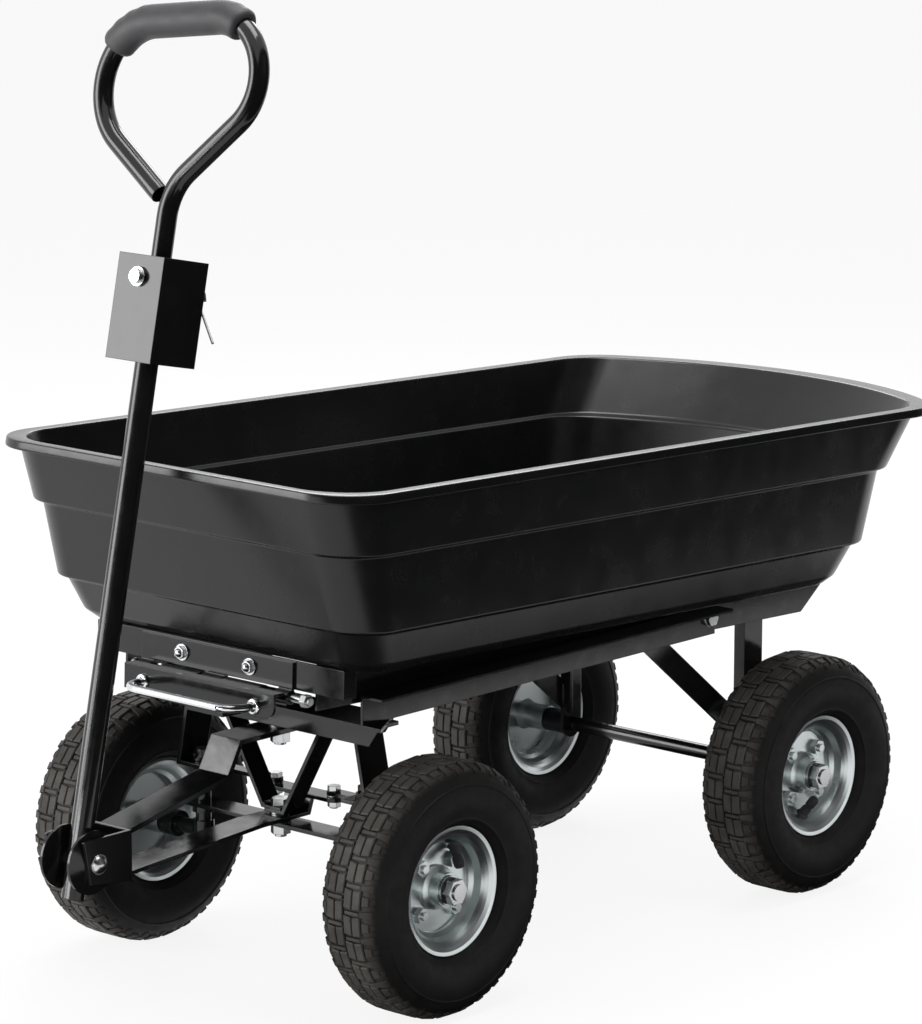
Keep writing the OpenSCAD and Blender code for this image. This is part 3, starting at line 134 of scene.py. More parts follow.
def bump(nt, shader, height, strength, distance, chain=None):
    """Gives a shader bumps on top of those in chain, and returns the chain so far."""
    n = nt.nodes.new("ShaderNodeBump")
    n.inputs["Strength"].default_value = strength
    n.inputs["Distance"].default_value = distance
    nt.links.new(height, n.inputs["Height"])
    if chain:
        nt.links.new(chain, n.inputs["Normal"])
    nt.links.new(n.outputs["Normal"], shader.inputs["Normal"])
    return n.outputs["Normal"]


def soft_edge(nt, radius):
    """Shading normal that rounds each sharp edge by a small radius."""
    n = nt.nodes.new("ShaderNodeBevel")
    n.samples = 4
    n.inputs["Radius"].default_value = radius
    return n.outputs["Normal"]


def maths(nt, operation, first, second=0.0):
    """Output of a Math node: first is a socket, second is a socket or a number."""
    n = nt.nodes.new("ShaderNodeMath")
    n.operation = operation
    nt.links.new(first, n.inputs[0])
    if isinstance(second, float):
        n.inputs[1].default_value = second
    else:
        nt.links.new(second, n.inputs[1])
    return n.outputs[0]


def mix_shaders(nt, fac, first, second):
    """Shows the first shader where fac is zero and the second where it is one."""
    mix = nt.nodes.new("ShaderNodeMixShader")
    nt.links.new(fac, mix.inputs["Fac"])
    nt.links.new(first, mix.inputs[1])
    nt.links.new(second, mix.inputs[2])
    nt.links.new(mix.outputs["Shader"], nt.nodes["Material Output"].inputs["Surface"])


# Materials

STEEL_DARK, STEEL_LIGHT = (0.55, 0.56, 0.57), (0.66, 0.67, 0.68)
# Distances from the wheel's axis, in metres, between which the black sidewall turns into the dusty tread;
# the tread colour is full only near the block tops, so the groove floors between the blocks stay darker as
# painted shade
WALL_TO, TREAD_FROM = 0.117, 0.1265
# How far outside the wheel's middle plane the paint on a shaft ends, in millimetres
PAINT_PAST = 20.0


def gloss_paint(name):
    m, nt, b, co = start(name)
    shades = [(0.3, (0.0030, 0.0030, 0.0033)), (0.7, (0.0052, 0.0052, 0.0056))]
    tint(nt, b, noise(nt, co, 14, 5, 0.6), shades)
    roughen(nt, b, noise(nt, co, 55, 6, 0.65), 0.09, 0.19)
    peel = bump(nt, b, noise(nt, co, 420, 2, 0.4), 0.05, 0.0004, soft_edge(nt, 0.0011))
    bump(nt, b, noise(nt, co, 60, 3, 0.5), 0.05, 0.001, peel)
    b.inputs["Specular IOR Level"].default_value = 0.5
    return m


def tub_plastic():
    m, nt, b, co = start("tub_plastic")
    shades = [(0.25, (0.0028, 0.0029, 0.0032)), (0.75, (0.0052, 0.0053, 0.0057))]
    tint(nt, b, noise(nt, co, 7, 6, 0.6), shades)
    roughen(nt, b, noise(nt, co, 26, 5, 0.6), 0.20, 0.30)
    grain = bump(nt, b, noise(nt, co, 1400, 2, 0.5), 0.07, 0.0003)
    bump(nt, b, noise(nt, co, 7, 2, 0.4), 0.08, 0.006, grain)
    b.inputs["Specular IOR Level"].default_value = 0.42
    return m


def plated(name, low, high, rough_low, rough_high, brush):
    m, nt, b, co = start(name)
    tint(nt, b, noise(nt, co, 16, 4, 0.5), [(0.25, low), (0.75, high)])
    b.inputs["Metallic"].default_value = 1.0
    roughen(nt, b, noise(nt, co, 30, 4, 0.5), rough_low, rough_high)
    bump(nt, b, noise(nt, co, 240, 4, 0.6, brush), 0.03, 0.0003, soft_edge(nt, 0.0008))
    return m


def tread_dust_and_groove_shade(nt, co):
    """Zero on the sidewall and one on the block tops, by the distance from the wheel's axis: dust on the
    tread, and painted shade that leaves the grooves between the blocks darker.
    """
    flat = nt.nodes.new("ShaderNodeVectorMath")
    flat.operation = "MULTIPLY"
    flat.inputs[1].default_value = (1, 0, 1)
    nt.links.new(co, flat.inputs[0])
    reach = nt.nodes.new("ShaderNodeVectorMath")
    reach.operation = "LENGTH"
    nt.links.new(flat.outputs["Vector"], reach.inputs[0])
    share = nt.nodes.new("ShaderNodeMapRange")
    share.inputs["From Min"].default_value = WALL_TO
    share.inputs["From Max"].default_value = TREAD_FROM
    nt.links.new(reach.outputs["Value"], share.inputs["Value"])
    return share.outputs["Result"]


def tyre_rubber():
    m, nt, b, co = start("tyre_rubber")
    dust = noise(nt, co, 30, 6, 0.7)
    wall_shades = [(0.3, (0.0036, 0.0034, 0.0034)), (0.72, (0.0070, 0.0064, 0.0062))]
    tread_shades = [(0.3, (0.028, 0.0257, 0.0236)), (0.72, (0.064, 0.0584, 0.0534))]
    shade = nt.nodes.new("ShaderNodeMix")
    shade.data_type = "RGBA"
    # The tread's dust colour is full only on the block tops, so the grooves between them get painted shade
    nt.links.new(tread_dust_and_groove_shade(nt, co), shade.inputs[MIX_FACTOR])
    nt.links.new(ramp(nt, dust, wall_shades), shade.inputs[MIX_A])
    nt.links.new(ramp(nt, dust, tread_shades), shade.inputs[MIX_B])
    nt.links.new(shade.outputs[MIX_RESULT], b.inputs["Base Color"])
    roughen(nt, b, noise(nt, co, 80, 5, 0.6), 0.48, 0.66)
    fine = bump(nt, b, noise(nt, co, 900, 3, 0.6), 0.10, 0.0004)
    bump(nt, b, noise(nt, co, 120, 3, 0.5), 0.07, 0.0012, fine)
    b.inputs["Specular IOR Level"].default_value = 0.18
    return m


def plain_rubber():
    m, nt, b, co = start("plain_rubber")
    shades = [(0.3, (0.009, 0.009, 0.009)), (0.7, (0.02, 0.02, 0.02))]
    tint(nt, b, noise(nt, co, 60, 5, 0.6), shades)
    roughen(nt, b, noise(nt, co, 140, 4, 0.6), 0.5, 0.7)
    bump(nt, b, noise(nt, co, 800, 2, 0.5), 0.12, 0.0004)
    return m


def foam():
    m, nt, b, co = start("grip_foam")
    cells = nt.nodes.new("ShaderNodeTexVoronoi")
    cells.inputs["Scale"].default_value = 900
    nt.links.new(co, cells.inputs["Vector"])
    wear = noise(nt, co, 42, 6, 0.65)
    tint(nt, b, wear, [(0.25, (0.016, 0.016, 0.018)), (0.75, (0.032, 0.032, 0.035))])
    roughen(nt, b, wear, 0.44, 0.60)
    pores = bump(nt, b, cells.outputs["Distance"], 0.25, 0.0006)
    bump(nt, b, noise(nt, co, 70, 3, 0.5), 0.25, 0.002, pores)
    b.inputs["Sheen Weight"].default_value = 0.05
    b.inputs["Sheen Roughness"].default_value = 0.5
    return m


def painted_shaft(name, reach):
    """Black paint that stops at a distance from the cart's middle plane, with bright steel beyond it."""
    m = gloss_paint(name)
    nt = m.node_tree
    steel = nt.nodes.new("ShaderNodeBsdfPrincipled")
    steel.inputs["Metallic"].default_value = 1.0
    coord = nt.nodes.new("ShaderNodeTexCoord").outputs["Object"]
    grain = noise(nt, coord, 30, 4, 0.5)
    tint(nt, steel, grain, [(0.25, STEEL_DARK), (0.75, STEEL_LIGHT)])
    roughen(nt, steel, grain, 0.16, 0.28)
    axes = nt.nodes.new("ShaderNodeSeparateXYZ")
    nt.links.new(coord, axes.inputs[0])
    bare = maths(nt, "GREATER_THAN", maths(nt, "ABSOLUTE", axes.outputs["Y"]), reach)
    mix_shaders(nt, bare, nt.nodes["Principled BSDF"].outputs["BSDF"], steel.outputs["BSDF"])
    return m


PAINT = gloss_paint("black_gloss_paint")
PLASTIC = tub_plastic()
ZINC = plated("zinc_plate", (0.68, 0.73, 0.73), (0.74, 0.79, 0.79), 0.26, 0.34, (1, 6, 1))
BRIGHT = plated("bright_steel", STEEL_DARK, STEEL_LIGHT, 0.16, 0.26, (1, 1, 5))
CHROME = plated("polished_chrome", (0.74, 0.75, 0.77), (0.82, 0.83, 0.85), 0.05, 0.11, (1, 4, 1))
RUBBER = tyre_rubber()
SOFT = plain_rubber()
FOAM = foam()
FINISH = {
    "tub_plastic": PLASTIC,
    "black_paint": PAINT,
    "zinc_plate": ZINC,
    "bright_steel": BRIGHT,
    "chrome_plate": CHROME,
    "tyre_rubber": RUBBER,
    "pad_rubber": SOFT,
    "grip_foam": FOAM,
}
FRONT_SHAFT = painted_shaft("front_shaft", (FRONT_Y + PAINT_PAST) / MM)
REAR_SHAFT = painted_shaft("rear_shaft", (REAR_Y + PAINT_PAST) / MM)
SHAFTS = {"knuckle_l": FRONT_SHAFT, "knuckle_r": FRONT_SHAFT, "rear_axle": REAR_SHAFT}

for part in frame["record"]["subparts"]:
    slots = nodes[part["node"]].data.materials
    slots.clear()
    slots.append(SHAFTS.get(part["node"], FINISH[part["material_slot"]]))


# Mesh helpers: a shape is a pair of vertices and faces

def new_object(name, data):
    o = bpy.data.objects.new(name, data)
    bpy.context.collection.objects.link(o)
    return o


def smooth_mesh(name, shape, material, angle):
    """A mesh with outward normals, smooth apart from edges sharper than an angle in degrees."""
    verts, faces = shape
    me = bpy.data.meshes.new(name)
    me.from_pydata([tuple(v) for v in verts], [], faces)
    bm = bmesh.new()
    bm.from_mesh(me)
    bmesh.ops.recalc_face_normals(bm, faces=bm.faces)
    bm.to_mesh(me)
    bm.free()
    me.shade_smooth()
    me.set_sharp_from_angle(angle=math.radians(angle))
    me.materials.append(material)
    return me


def piece(name, shape, material, body, angle):
    """A new piece of the cart that moves with a body."""
    o = new_object(name, smooth_mesh(name, shape, material, angle))
    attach(o, body)
    return o


def circle(n):
    """Cosine and sine at n even steps of a full turn."""
    return [(math.cos(2 * math.pi * k / n), math.sin(2 * math.pi * k / n)) for k in range(n)]


def arc(x, y, r, a0, a1, n):
    """Points along an arc between two angles in degrees, in n steps."""
    turns = [math.radians(a0 + (a1 - a0) * i / n) for i in range(n + 1)]
    return [(x + r * math.cos(t), y + r * math.sin(t)) for t in turns]


def skin(rings, closed):
    """A shape over rows of rings: closed joins the last to the first, and otherwise both are capped."""
    n, m = len(rings[0]), len(rings)
    verts = [p for ring in rings for p in ring]
    faces = []
    for k in range(m if closed else m - 1):
        a, c = k * n, ((k + 1) % m) * n
        for i in range(n):
            j = (i + 1) % n
            faces.append((a + i, a + j, c + j, c + i))
    if not closed:
        faces.append(tuple(range(n)))
        faces.append(tuple(range((m - 1) * n, m * n)))
    return verts, faces


def merged(shapes):
    """One shape that holds several."""
    verts, faces = [], []
    for v, f in shapes:
        faces += [tuple(len(verts) + i for i in face) for face in f]
        verts += v
    return verts, faces


def lathe(profile):
    """Rings of a turned shape along +Z from (radius, height) pairs, in millimetres."""
    sides = 24
    return [[Vector((r * c, r * s, z)) for c, s in circle(sides)] for r, z in profile]


def rounded(points, radius):
    """A path of vectors with each inner corner softened by a short curve."""
    steps, most = 4, 0.45
    out = [points[0]]
    for a, b, c in zip(points, points[1:], points[2:]):
        p = b + (a - b) * min(most, radius / (a - b).length)
        q = b + (c - b) * min(most, radius / (c - b).length)
        for k in range(steps + 1):
            t = k / steps
            out.append(p * (1 - t) ** 2 + b * 2 * t * (1 - t) + q * t * t)
    return out + [points[-1]]


# Tub, a finer skin over the same levels as its solid

# Heights of the foot's slope, of the two ledges and of one ledge's step
FOOT_H, LOW_LEDGE, HIGH_LEDGE, LEDGE_H = 9.0, 42.0, 120.0, 2.0
# How far inside the lowest band the floor's edge and next ring lie, below and above, and the lip's taper
UNDER_EDGE, UNDER_RING, FLOOR_EDGE, FLOOR_RING, LIP_TAPER = 10.0, 24.0, 11.0, 26.0, 0.6
# Corner radii at the rim and what they lose down to the floor, the rear end's bow and the edges' softness
CORNER_FRONT, CORNER_REAR, CORNER_LOSS, BOW_R, EDGE_R = 60.0, 75.0, 22.0, 380.0, 2.6
# Steps of each front corner, each rear corner and half of the bow
FRONT_STEPS, REAR_STEPS, BOW_STEPS = 14, 12, 12
# Raised floor panel: its middle ahead of the pivot, the centres of its corners, their radius and steps
PANEL_MID, PANEL_X, PANEL_Y, PANEL_R, PANEL_STEPS = 199.0, 314.0, 85.0, 30.0, 8
# Inset and height of the panel's rings
PANEL_LEVELS = [(0.0, 3.4), (0.0, 4.9), (0.6, 5.5), (8.0, 5.5)]


def outline(front, side, rear, front_r, rear_r):
    """The tub's plan, with rounded corners and a bowed rear end."""
    bow_x, corner_y = rear + BOW_R, side - rear_r
    corner_x = bow_x - math.sqrt((BOW_R - rear_r) ** 2 - corner_y * corner_y)
    meet = math.degrees(math.atan2(corner_y, corner_x - bow_x))
    half = arc(front - front_r, side - front_r, front_r, 0, 90, FRONT_STEPS)
    half += arc(corner_x, corner_y, rear_r, 90, meet, REAR_STEPS)
    half += arc(bow_x, 0, BOW_R, meet, 180, BOW_STEPS)[1:]
    return half + [(x, -y) for x, y in reversed(half[:-1])]


def tub_levels():
    """Height and front, side and rear inset along the wall, from under the floor round to its top."""
    each = Vector((0, 1, 1, 1))
    wall = each * WALL
    ledge = Vector((0, 7, 6, 11))
    lip = Vector((0, 10, 11, 22))
    top = lip + Vector((0, 17, 6, 41))
    mid = top + ledge + Vector((0, 22, 5, 22))
    low = mid + ledge + Vector((0, 17, 10, 23))
    under = [(0, low + each * UNDER_RING), (0, low + each * UNDER_EDGE)]
    outside = [
        (FOOT_H, low),
        (LOW_LEDGE, mid + ledge),
        (LOW_LEDGE + LEDGE_H, mid),
        (HIGH_LEDGE, top + ledge),
        (HIGH_LEDGE + LEDGE_H, top),
    ]
    lip_z = TUB_H - LIP_H
    rim = [(lip_z, lip), (lip_z, each * 0), (TUB_H, each * LIP_TAPER), (TUB_H, lip + wall)]
    inside = [(h + WALL, inset + wall) for h, inset in reversed(outside)]
    floor = [(WALL, low + each * FLOOR_EDGE), (WALL, low + each * FLOOR_RING)]
    path = under + outside + rim + inside + floor
    return rounded([Vector((h, *inset[1:])) for h, inset in path], EDGE_R)


def floor_panel():
    rings = []
    for inset, h in PANEL_LEVELS:
        flat = []
        for sx, sy, a in ((1, 1, 0), (-1, 1, 90), (-1, -1, 180), (1, -1, 270)):
            x, y = PANEL_MID + sx * PANEL_X, sy * PANEL_Y
            flat += arc(x, y, PANEL_R - inset, a, a + 90, PANEL_STEPS)
        rings.append([bed(u, y, BED_TOP + h) for u, y in flat])
    return skin(rings, False)


def make_tub():
    rings = []
    for h, front, side, rear in tub_levels():
        loss = CORNER_LOSS * (1 - h / TUB_H)
        reach = (TUB_FRONT - front, TUB_W / 2 - side, rear - TUB_REAR)
        flat = outline(*reach, CORNER_FRONT - loss, CORNER_REAR - loss)
        rings.append([bed(u, y, BED_TOP + h) for u, y in flat])
    shape = merged([skin(rings, False), floor_panel()])
    o = piece("tub_moulding", shape, PLASTIC, "bed", angle=50)
    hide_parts("tub")


make_tub()


# Tyres with block tread, and the valves

# Half of the tyre's outer section as (radius, distance from the middle), from the bead to the tread
TYRE_SECTION = [
    (53.5, 7.4), (53.5, 15.0), (55.7, 18.1), (57.9, 20.7), (61.1, 23.1), (64.4, 24.0), (65.6, 27.6),
    (69, 32), (71, 33.6), (71.8, 35.2), (73.4, 35.4), (74.4, 35.6), (80, 38.3), (87, 40.2), (94, 40.9),
    (100, 40.6), (105, 39.6), (106, 40.2), (107.4, 39.8), (108, 38.7), (113, 36.6), (117, 33.6),
    (120.4, 29.6), (122.4, 25.6), (123.2, 21), (123.4, 10),
]
# The part of it that the tread blocks stand on
TREAD_BASE = TYRE_SECTION[-9:]
# Half of the tyre's inner section, from the tread to the bead
TYRE_INSIDE = [(118, 12), (113, 29), (95, 34), (76, 29), (62, 18)]
TYRE_STEPS, TREAD_COUNT = 120, 30
# How deep a block is rooted, how high its chamfer is and how much of its plan is left on top
BLOCK_ROOT, BLOCK_CHAMFER, BLOCK_TOP = 1.2, 0.9, 0.86
# Tread blocks of one pitch: the middle and the corners' offsets from it, in pitches, the least and greatest
# distance from the tyre's middle, and the height
BLOCKS = [
    (0.0, (-0.335, 0.385, 0.335, -0.385), 0.8, 10.2, 3.6),
    (0.0, (-0.385, 0.335, 0.385, -0.335), 11.5, 20.8, 3.6),
    (0.5, (-0.068, 0.068, 0.068, -0.068), 1.8, 20.4, 3.3),
    (0.5, (-0.096, 0.096, 0.16, -0.16), 20.8, 32.0, 3.2),
    (0.0, (-0.21, 0.21, 0.168, -0.168), 22.2, 29.0, 2.0),
    (0.0, (-0.12, 0.12, 0.096, -0.096), 30.4, 34.8, 1.6),
]
# Wheels by name: place of the middle, angle of the valve in degrees and spin of the tread in radians
WHEELS = {
    "fl": (FRONT_X, FRONT_Y, 116, 0.3),
    "fr": (FRONT_X, -FRONT_Y, 20, 1.1),
    "rl": (-FRONT_X, REAR_Y, 278, 0.7),
    "rr": (-FRONT_X, -REAR_Y, 160, 1.9),
}
# Valve stem and cap as (radius, height)
VALVE = [
    (0.5, 0), (6.8, 0), (7.0, 1.2), (5.8, 2.4), (5.4, 3.6), (5.3, 9.4), (4.5, 11), (4.1, 12.6), (4.3, 13.4),
    (5.2, 14.2), (5.3, 22.6), (4.6, 24.4), (2.4, 25.2), (0.5, 25.3),
]
# Place of the valve's foot from the wheel's middle, and how it leans outwards and towards the axle
VALVE_R, VALVE_OUT, LEAN_OUT, LEAN_IN = 44.0, 11.0, 0.62, 0.78


def wheel_point(r, y, a):
    return Vector((r * math.cos(a), y, r * math.sin(a))) / MM


def tread_radius(y):
    """Radius of the tyre's surface between the blocks at a distance from its middle."""
    for (r0, y0), (r1, y1) in zip(TREAD_BASE, TREAD_BASE[1:]):
        if y1 <= abs(y) <= y0:
            return r0 + (r1 - r0) * (y0 - abs(y)) / (y0 - y1)
    return TREAD_BASE[-1][0]


def tread_block(corners, height):
    """A block on four (angle, y) corners, chamfered round its top and open at its root in the tyre."""
    ca = sum(a for a, y in corners) / 4
    cy = sum(y for a, y in corners) / 4
    root, side, top = [], [], []
    for a, y in corners:
        r = tread_radius(y)
        root.append(wheel_point(r - BLOCK_ROOT, y, a))
        side.append(wheel_point(r + height - BLOCK_CHAMFER, y, a))
        top.append(wheel_point(r + height, cy + (y - cy) * BLOCK_TOP, ca + (a - ca) * BLOCK_TOP))
    verts, faces = skin([root, side, top], False)
    return verts, faces[:-2] + faces[-1:]


def make_tyre_mesh():
    outer = TYRE_SECTION + [(r, -y) for r, y in reversed(TYRE_SECTION)]
    inner = [(r, -y) for r, y in reversed(TYRE_INSIDE)] + TYRE_INSIDE
    turns = [2 * math.pi * k / TYRE_STEPS for k in range(TYRE_STEPS)]
    shapes = [skin([[wheel_point(r, y, a) for r, y in outer + inner] for a in turns], True)]
    pitch = 2 * math.pi / TREAD_COUNT
    for side, shift in ((1, 0.0), (-1, 0.5)):
        for k in range(TREAD_COUNT):
            for middle, offsets, near, far, height in BLOCKS:
                angles = [pitch * (k + shift + middle + offset) for offset in offsets]
                ys = (side * near, side * near, side * far, side * far)
                shapes.append(tread_block(list(zip(angles, ys)), height))
    return smooth_mesh("block_tyre", merged(shapes), RUBBER, angle=32)


def make_valve(tag, x, y, deg):
    side = 1 if y > 0 else -1
    a = math.radians(deg)
    radial = Vector((math.cos(a), 0, math.sin(a)))
    out = (Vector((0, side, 0)) * LEAN_OUT - radial * LEAN_IN).normalized()
    turn = Vector((0, 0, 1)).rotation_difference(out).to_matrix()
    foot = row(x, y + side * VALVE_OUT, TYRE_R) + radial * VALVE_R / MM
    rings = [[foot + turn @ p / MM for p in ring] for ring in lathe(VALVE)]
    piece("valve_stem_" + tag, skin(rings, False), SOFT, "wheel_" + tag, angle=40)


tyre_mesh = make_tyre_mesh()
for tag, (x, y, deg, spin) in WHEELS.items():
    mesh = tyre_mesh.copy()
    mesh.transform(Matrix.Rotation(spin, 4, "Y"))
    o = new_object("block_tyre_" + tag, mesh)
    o.matrix_world = Matrix.Translation(row(x, y, TYRE_R))
    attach(o, "wheel_" + tag)
    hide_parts("tyre_" + tag)
    make_valve(tag, x, y, deg)


# Handle loop, foam grip, spring clip and latch bail as smooth bent bars

# A bar's steps are (0, length) where it runs straight and (bend radius, degrees) where it turns
LOOP = [(0, 102), (58, 48), (0, 76), (56, -108.5), (56, -36), (0, 83.5), (64.5, -50), (64.5, -90), (0, 80)]
LOOP_START = Vector((0, HANDLE_UP - LOOP_IN))
# Radii of the loop's two ends and of its bore, and the spacing and sides of its rings
LOOP_END_R, LOOP_BORE_R, LOOP_STEP, LOOP_SIDES = 9.6, 8.4, 6.0, 28
# First step of the loop under the grip, the step after the last, and the spacing and sides of the rings
GRIP_FROM, GRIP_TO, GRIP_STEP, GRIP_SIDES = 4, 7, 3.0, 40
# The grip's radius, what its ends draw in by and over what length, and how oval it is
GRIP_R, GRIP_DRAW, GRIP_DRAW_L, GRIP_OVAL = 16.25, 2.4, 2.2, 0.3
# Radii of the grip's bore at its ends and along it
GRIP_MOUTH_R, GRIP_BORE_R = 10.3, 10.15
# Creases inside the grip's bends: height, pitch in radians a ring, and the level stretch that has none
CREASE_H, CREASE_PITCH, CREASE_FREE = 0.45, 1.35, math.radians(12)
CLIP = [(0, 76), (6, 200), (0, 12), (6, -40), (0, 8), (6, 40), (0, 6)]
# The clip's place behind the handle and below its top, the start of its straight leg, and its tilt
CLIP_BACK, CLIP_DOWN, CLIP_LEG, CLIP_TILT = 45.0, 18.0, 66.0, math.radians(36)
# Radii of the clip's wire and of its tips, and the spacing and sides of its rings
CLIP_R, CLIP_TIP_R, CLIP_STEP, CLIP_SIDES = 1.4, 0.7, 1.2, 12
# The bail's seat in the bed's frame, half its width, the radius of its bends and its straight legs
BAIL_U, BAIL_W, BAIL_Y, BAIL_BEND, BAIL_LEG = 616.0, -15.5, 76.0, 22.0, 8.0
# Radius of the bail's bar, and the spacing and sides of its rings
BAIL_R, BAIL_STEP, BAIL_SIDES = 4.0, 3.0, 20
BAIL = [(0, BAIL_LEG), (BAIL_BEND, 90), (0, 2 * (BAIL_Y - BAIL_BEND)), (BAIL_BEND, 90), (0, BAIL_LEG)]
# Flanged foot of the bail as (radius, height)
BAIL_FOOT = [(0.5, 0), (7.9, 0), (8.0, 0.4), (8.0, 2.0), (7.2, 2.9), (5.2, 3.0), (4.2, 4.4)]


def across(a):
    return Vector((math.cos(a), -math.sin(a)))


def walk(path, p, step):
    """Stations (place, heading) along a bar bent in one plane, about a step apart."""
    a = 0.0
    out = []
    for r, v in path:
        if r == 0:
            n = max(1, round(v / step))
            d = Vector((math.sin(a), math.cos(a)))
            out += [(p + d * v * k / n, a) for k in range(n)]
            p = p + d * v
        else:
            t = math.radians(v)
            n = max(2, round(abs(t) * r / step))
            s = math.copysign(r, t)
            out += [(p + (across(a) - across(a + t * k / n)) * s, a + t * k / n) for k in range(n)]
            p = p + (across(a) - across(a + t)) * s
            a += t
    return out + [(p, a)]


def bar_point(station, r, c, s, place):
    """A point on the bar's skin at a station, by its radius and the cosine and sine of its turn."""
    spot, side = station[0], across(station[1])
    return place(r * c, spot[0] + r * s * side[0], spot[1] + r * s * side[1])


def ring_at(station, r, n, place):
    return [bar_point(station, r, c, s, place) for c, s in circle(n)]


def make_loop():
    run = walk(LOOP, LOOP_START, LOOP_STEP)
    radii = [LOOP_END_R] + [TUBE_R] * (len(run) - 2) + [LOOP_END_R]
    rings = [ring_at(station, r, LOOP_SIDES, handle) for station, r in zip(run, radii)]
    rings += [ring_at(station, LOOP_BORE_R, LOOP_SIDES, handle) for station in reversed(run)]
    o = piece("handle_loop_tube", skin(rings, True), PAINT, "handle", angle=60)
    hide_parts("handle_loop")


def grip_ring(i, last, station):
    """Ring i of the grip's outside, drawn in near both ends and creased on the inner side of a bend."""
    from_end = min(i, last - i) * GRIP_STEP
    swell = GRIP_R - GRIP_DRAW * math.exp(-from_end / GRIP_DRAW_L)
    heading = station[1]
    crease = 0.0
    if abs(heading + math.radians(90)) > CREASE_FREE:
        crease = CREASE_H * math.sin(i * CREASE_PITCH)
    inward = -1 if across(heading)[1] < 0 else 1
    ring = []
    for c, s in circle(GRIP_SIDES):
        r = swell - GRIP_OVAL * (c * c - s * s) + crease * max(0.0, inward * s)
        ring.append(bar_point(station, r, c, s, handle))
    return ring


def make_grip():
    first = len(walk(LOOP[:GRIP_FROM], LOOP_START, GRIP_STEP)) - 1
    count = len(walk(LOOP[GRIP_FROM:GRIP_TO], LOOP_START, GRIP_STEP))
    run = walk(LOOP, LOOP_START, GRIP_STEP)[first:first + count]
    rings = [ring_at(run[0], GRIP_MOUTH_R, GRIP_SIDES, handle)]
    rings += [grip_ring(i, count - 1, station) for i, station in enumerate(run)]
    rings.append(ring_at(run[-1], GRIP_MOUTH_R, GRIP_SIDES, handle))
    rings += [ring_at(station, GRIP_BORE_R, GRIP_SIDES, handle) for station in reversed(run)]
    o = piece("foam_grip", skin(rings, True), FOAM, "handle", angle=70)
    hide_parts("grip")


def make_clip():
    c, s = math.cos(CLIP_TILT), math.sin(CLIP_TILT)

    def place(x, y, z):
        return handle(x - CLIP_BACK, y * c - z * s, HANDLE_UP - CLIP_DOWN + y * s + z * c)

    run = walk(CLIP, Vector((0, -CLIP_LEG)), CLIP_STEP)
    rings = [ring_at(run[0], CLIP_TIP_R, CLIP_SIDES, place)]
    rings += [ring_at(station, CLIP_R, CLIP_SIDES, place) for station in run]
    rings.append(ring_at(run[-1], CLIP_TIP_R, CLIP_SIDES, place))
    o = piece("spring_clip", skin(rings, False), BRIGHT, "hitch_clip", angle=60)
    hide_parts("hitch_clip")


def make_pull():
    """The latch's round bail, with a flanged foot at each end."""

    def place(x, y, out):
        return bed(BAIL_U + out, y, BAIL_W - x)

    run = walk(BAIL, Vector((-BAIL_Y, 0)), BAIL_STEP)
    shapes = [skin([ring_at(station, BAIL_R, BAIL_SIDES, place) for station in run], False)]
    for y in (-BAIL_Y, BAIL_Y):
        rings = [[place(p[0], y + p[1], p[2]) for p in ring] for ring in lathe(BAIL_FOOT)]
        shapes.append(skin(rings, False))
    o = piece("pull_bail", merged(shapes), CHROME, "latch", angle=50)
    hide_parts("pull_handle")


make_loop()
make_grip()
make_clip()
make_pull()


# Weld beads along the frame's seams

# Radius of a bead, and of those on the braces
WELD_R, BRACE_WELD_R = 2.2, 2.0
# Spacing of a bead's rings in metres, their sides, and the depth and pitch of its ripples
WELD_STEP, WELD_SIDES, RIPPLE, RIPPLE_PITCH = 0.0012, 10, 0.14, 1.1
# Share of its radius that a bead has at its ends, and how fast it grows from there along its length
WELD_END, WELD_GROW = 0.35, 8
# Height and ends of the seam over a rear leg, and place and ends of the seam up a rear brace
LEG_SEAM_Z, LEG_SEAM_X = 316.0, (-306.0, -280.0)
BRACE_SEAM_X, BRACE_SEAM_Z = -277.8, (150.0, 177.0)
# Place of the fork's two seams, with the half length and height of each
FORK_SEAM_X, FORK_SEAMS = 529.6, {"top": (19.0, 197.4), "low": (17.0, 155.4)}


def weld(name, a, b, r, body):
    d = b - a
    n = int(d.length / WELD_STEP)
    turn = Vector((0, 0, 1)).rotation_difference(d.normalized()).to_matrix()
    rings = []
    for k in range(n + 1):
        t = k / n
        ripple = 1 - RIPPLE + RIPPLE * abs(math.sin(k * RIPPLE_PITCH))
        rr = r * ripple * min(1.0, WELD_END + WELD_GROW * min(t, 1 - t))
        rings.append([a + d * t + turn @ Vector((rr * c, rr * s, 0)) / MM for c, s in circle(WELD_SIDES)])
    piece(name, skin(rings, False), PAINT, body, angle=80)


for tag, s in (("l", 1), ("r", -1)):
    brace_y = s * (BED_Y - LEG_T)
    leg_y = brace_y + s * LEG_T / 2
    leg_ends = [row(x, leg_y, LEG_SEAM_Z) for x in LEG_SEAM_X]
    brace_ends = [row(BRACE_SEAM_X, brace_y, z) for z in BRACE_SEAM_Z]
    weld("weld_leg_" + tag, *leg_ends, WELD_R, "bed")
    weld("weld_brace_" + tag, *brace_ends, BRACE_WELD_R, "bed")
for tag, (half, z) in FORK_SEAMS.items():
    weld("weld_fork_" + tag, row(FORK_SEAM_X, -half, z), row(FORK_SEAM_X, half, z), WELD_R, "tongue")


# Camera at the photograph's place

EYE = row(3633.0, 3225.6, 1411.8)
YAW, TILT, ROLL = math.radians(-138.17), math.radians(-11.48), math.radians(0.07)
# Focal length and image height in pixels, and the sensor's size in millimetres
FOCAL_PX, IMAGE_H, SENSOR = 4828.8, 1024.0, 36.0


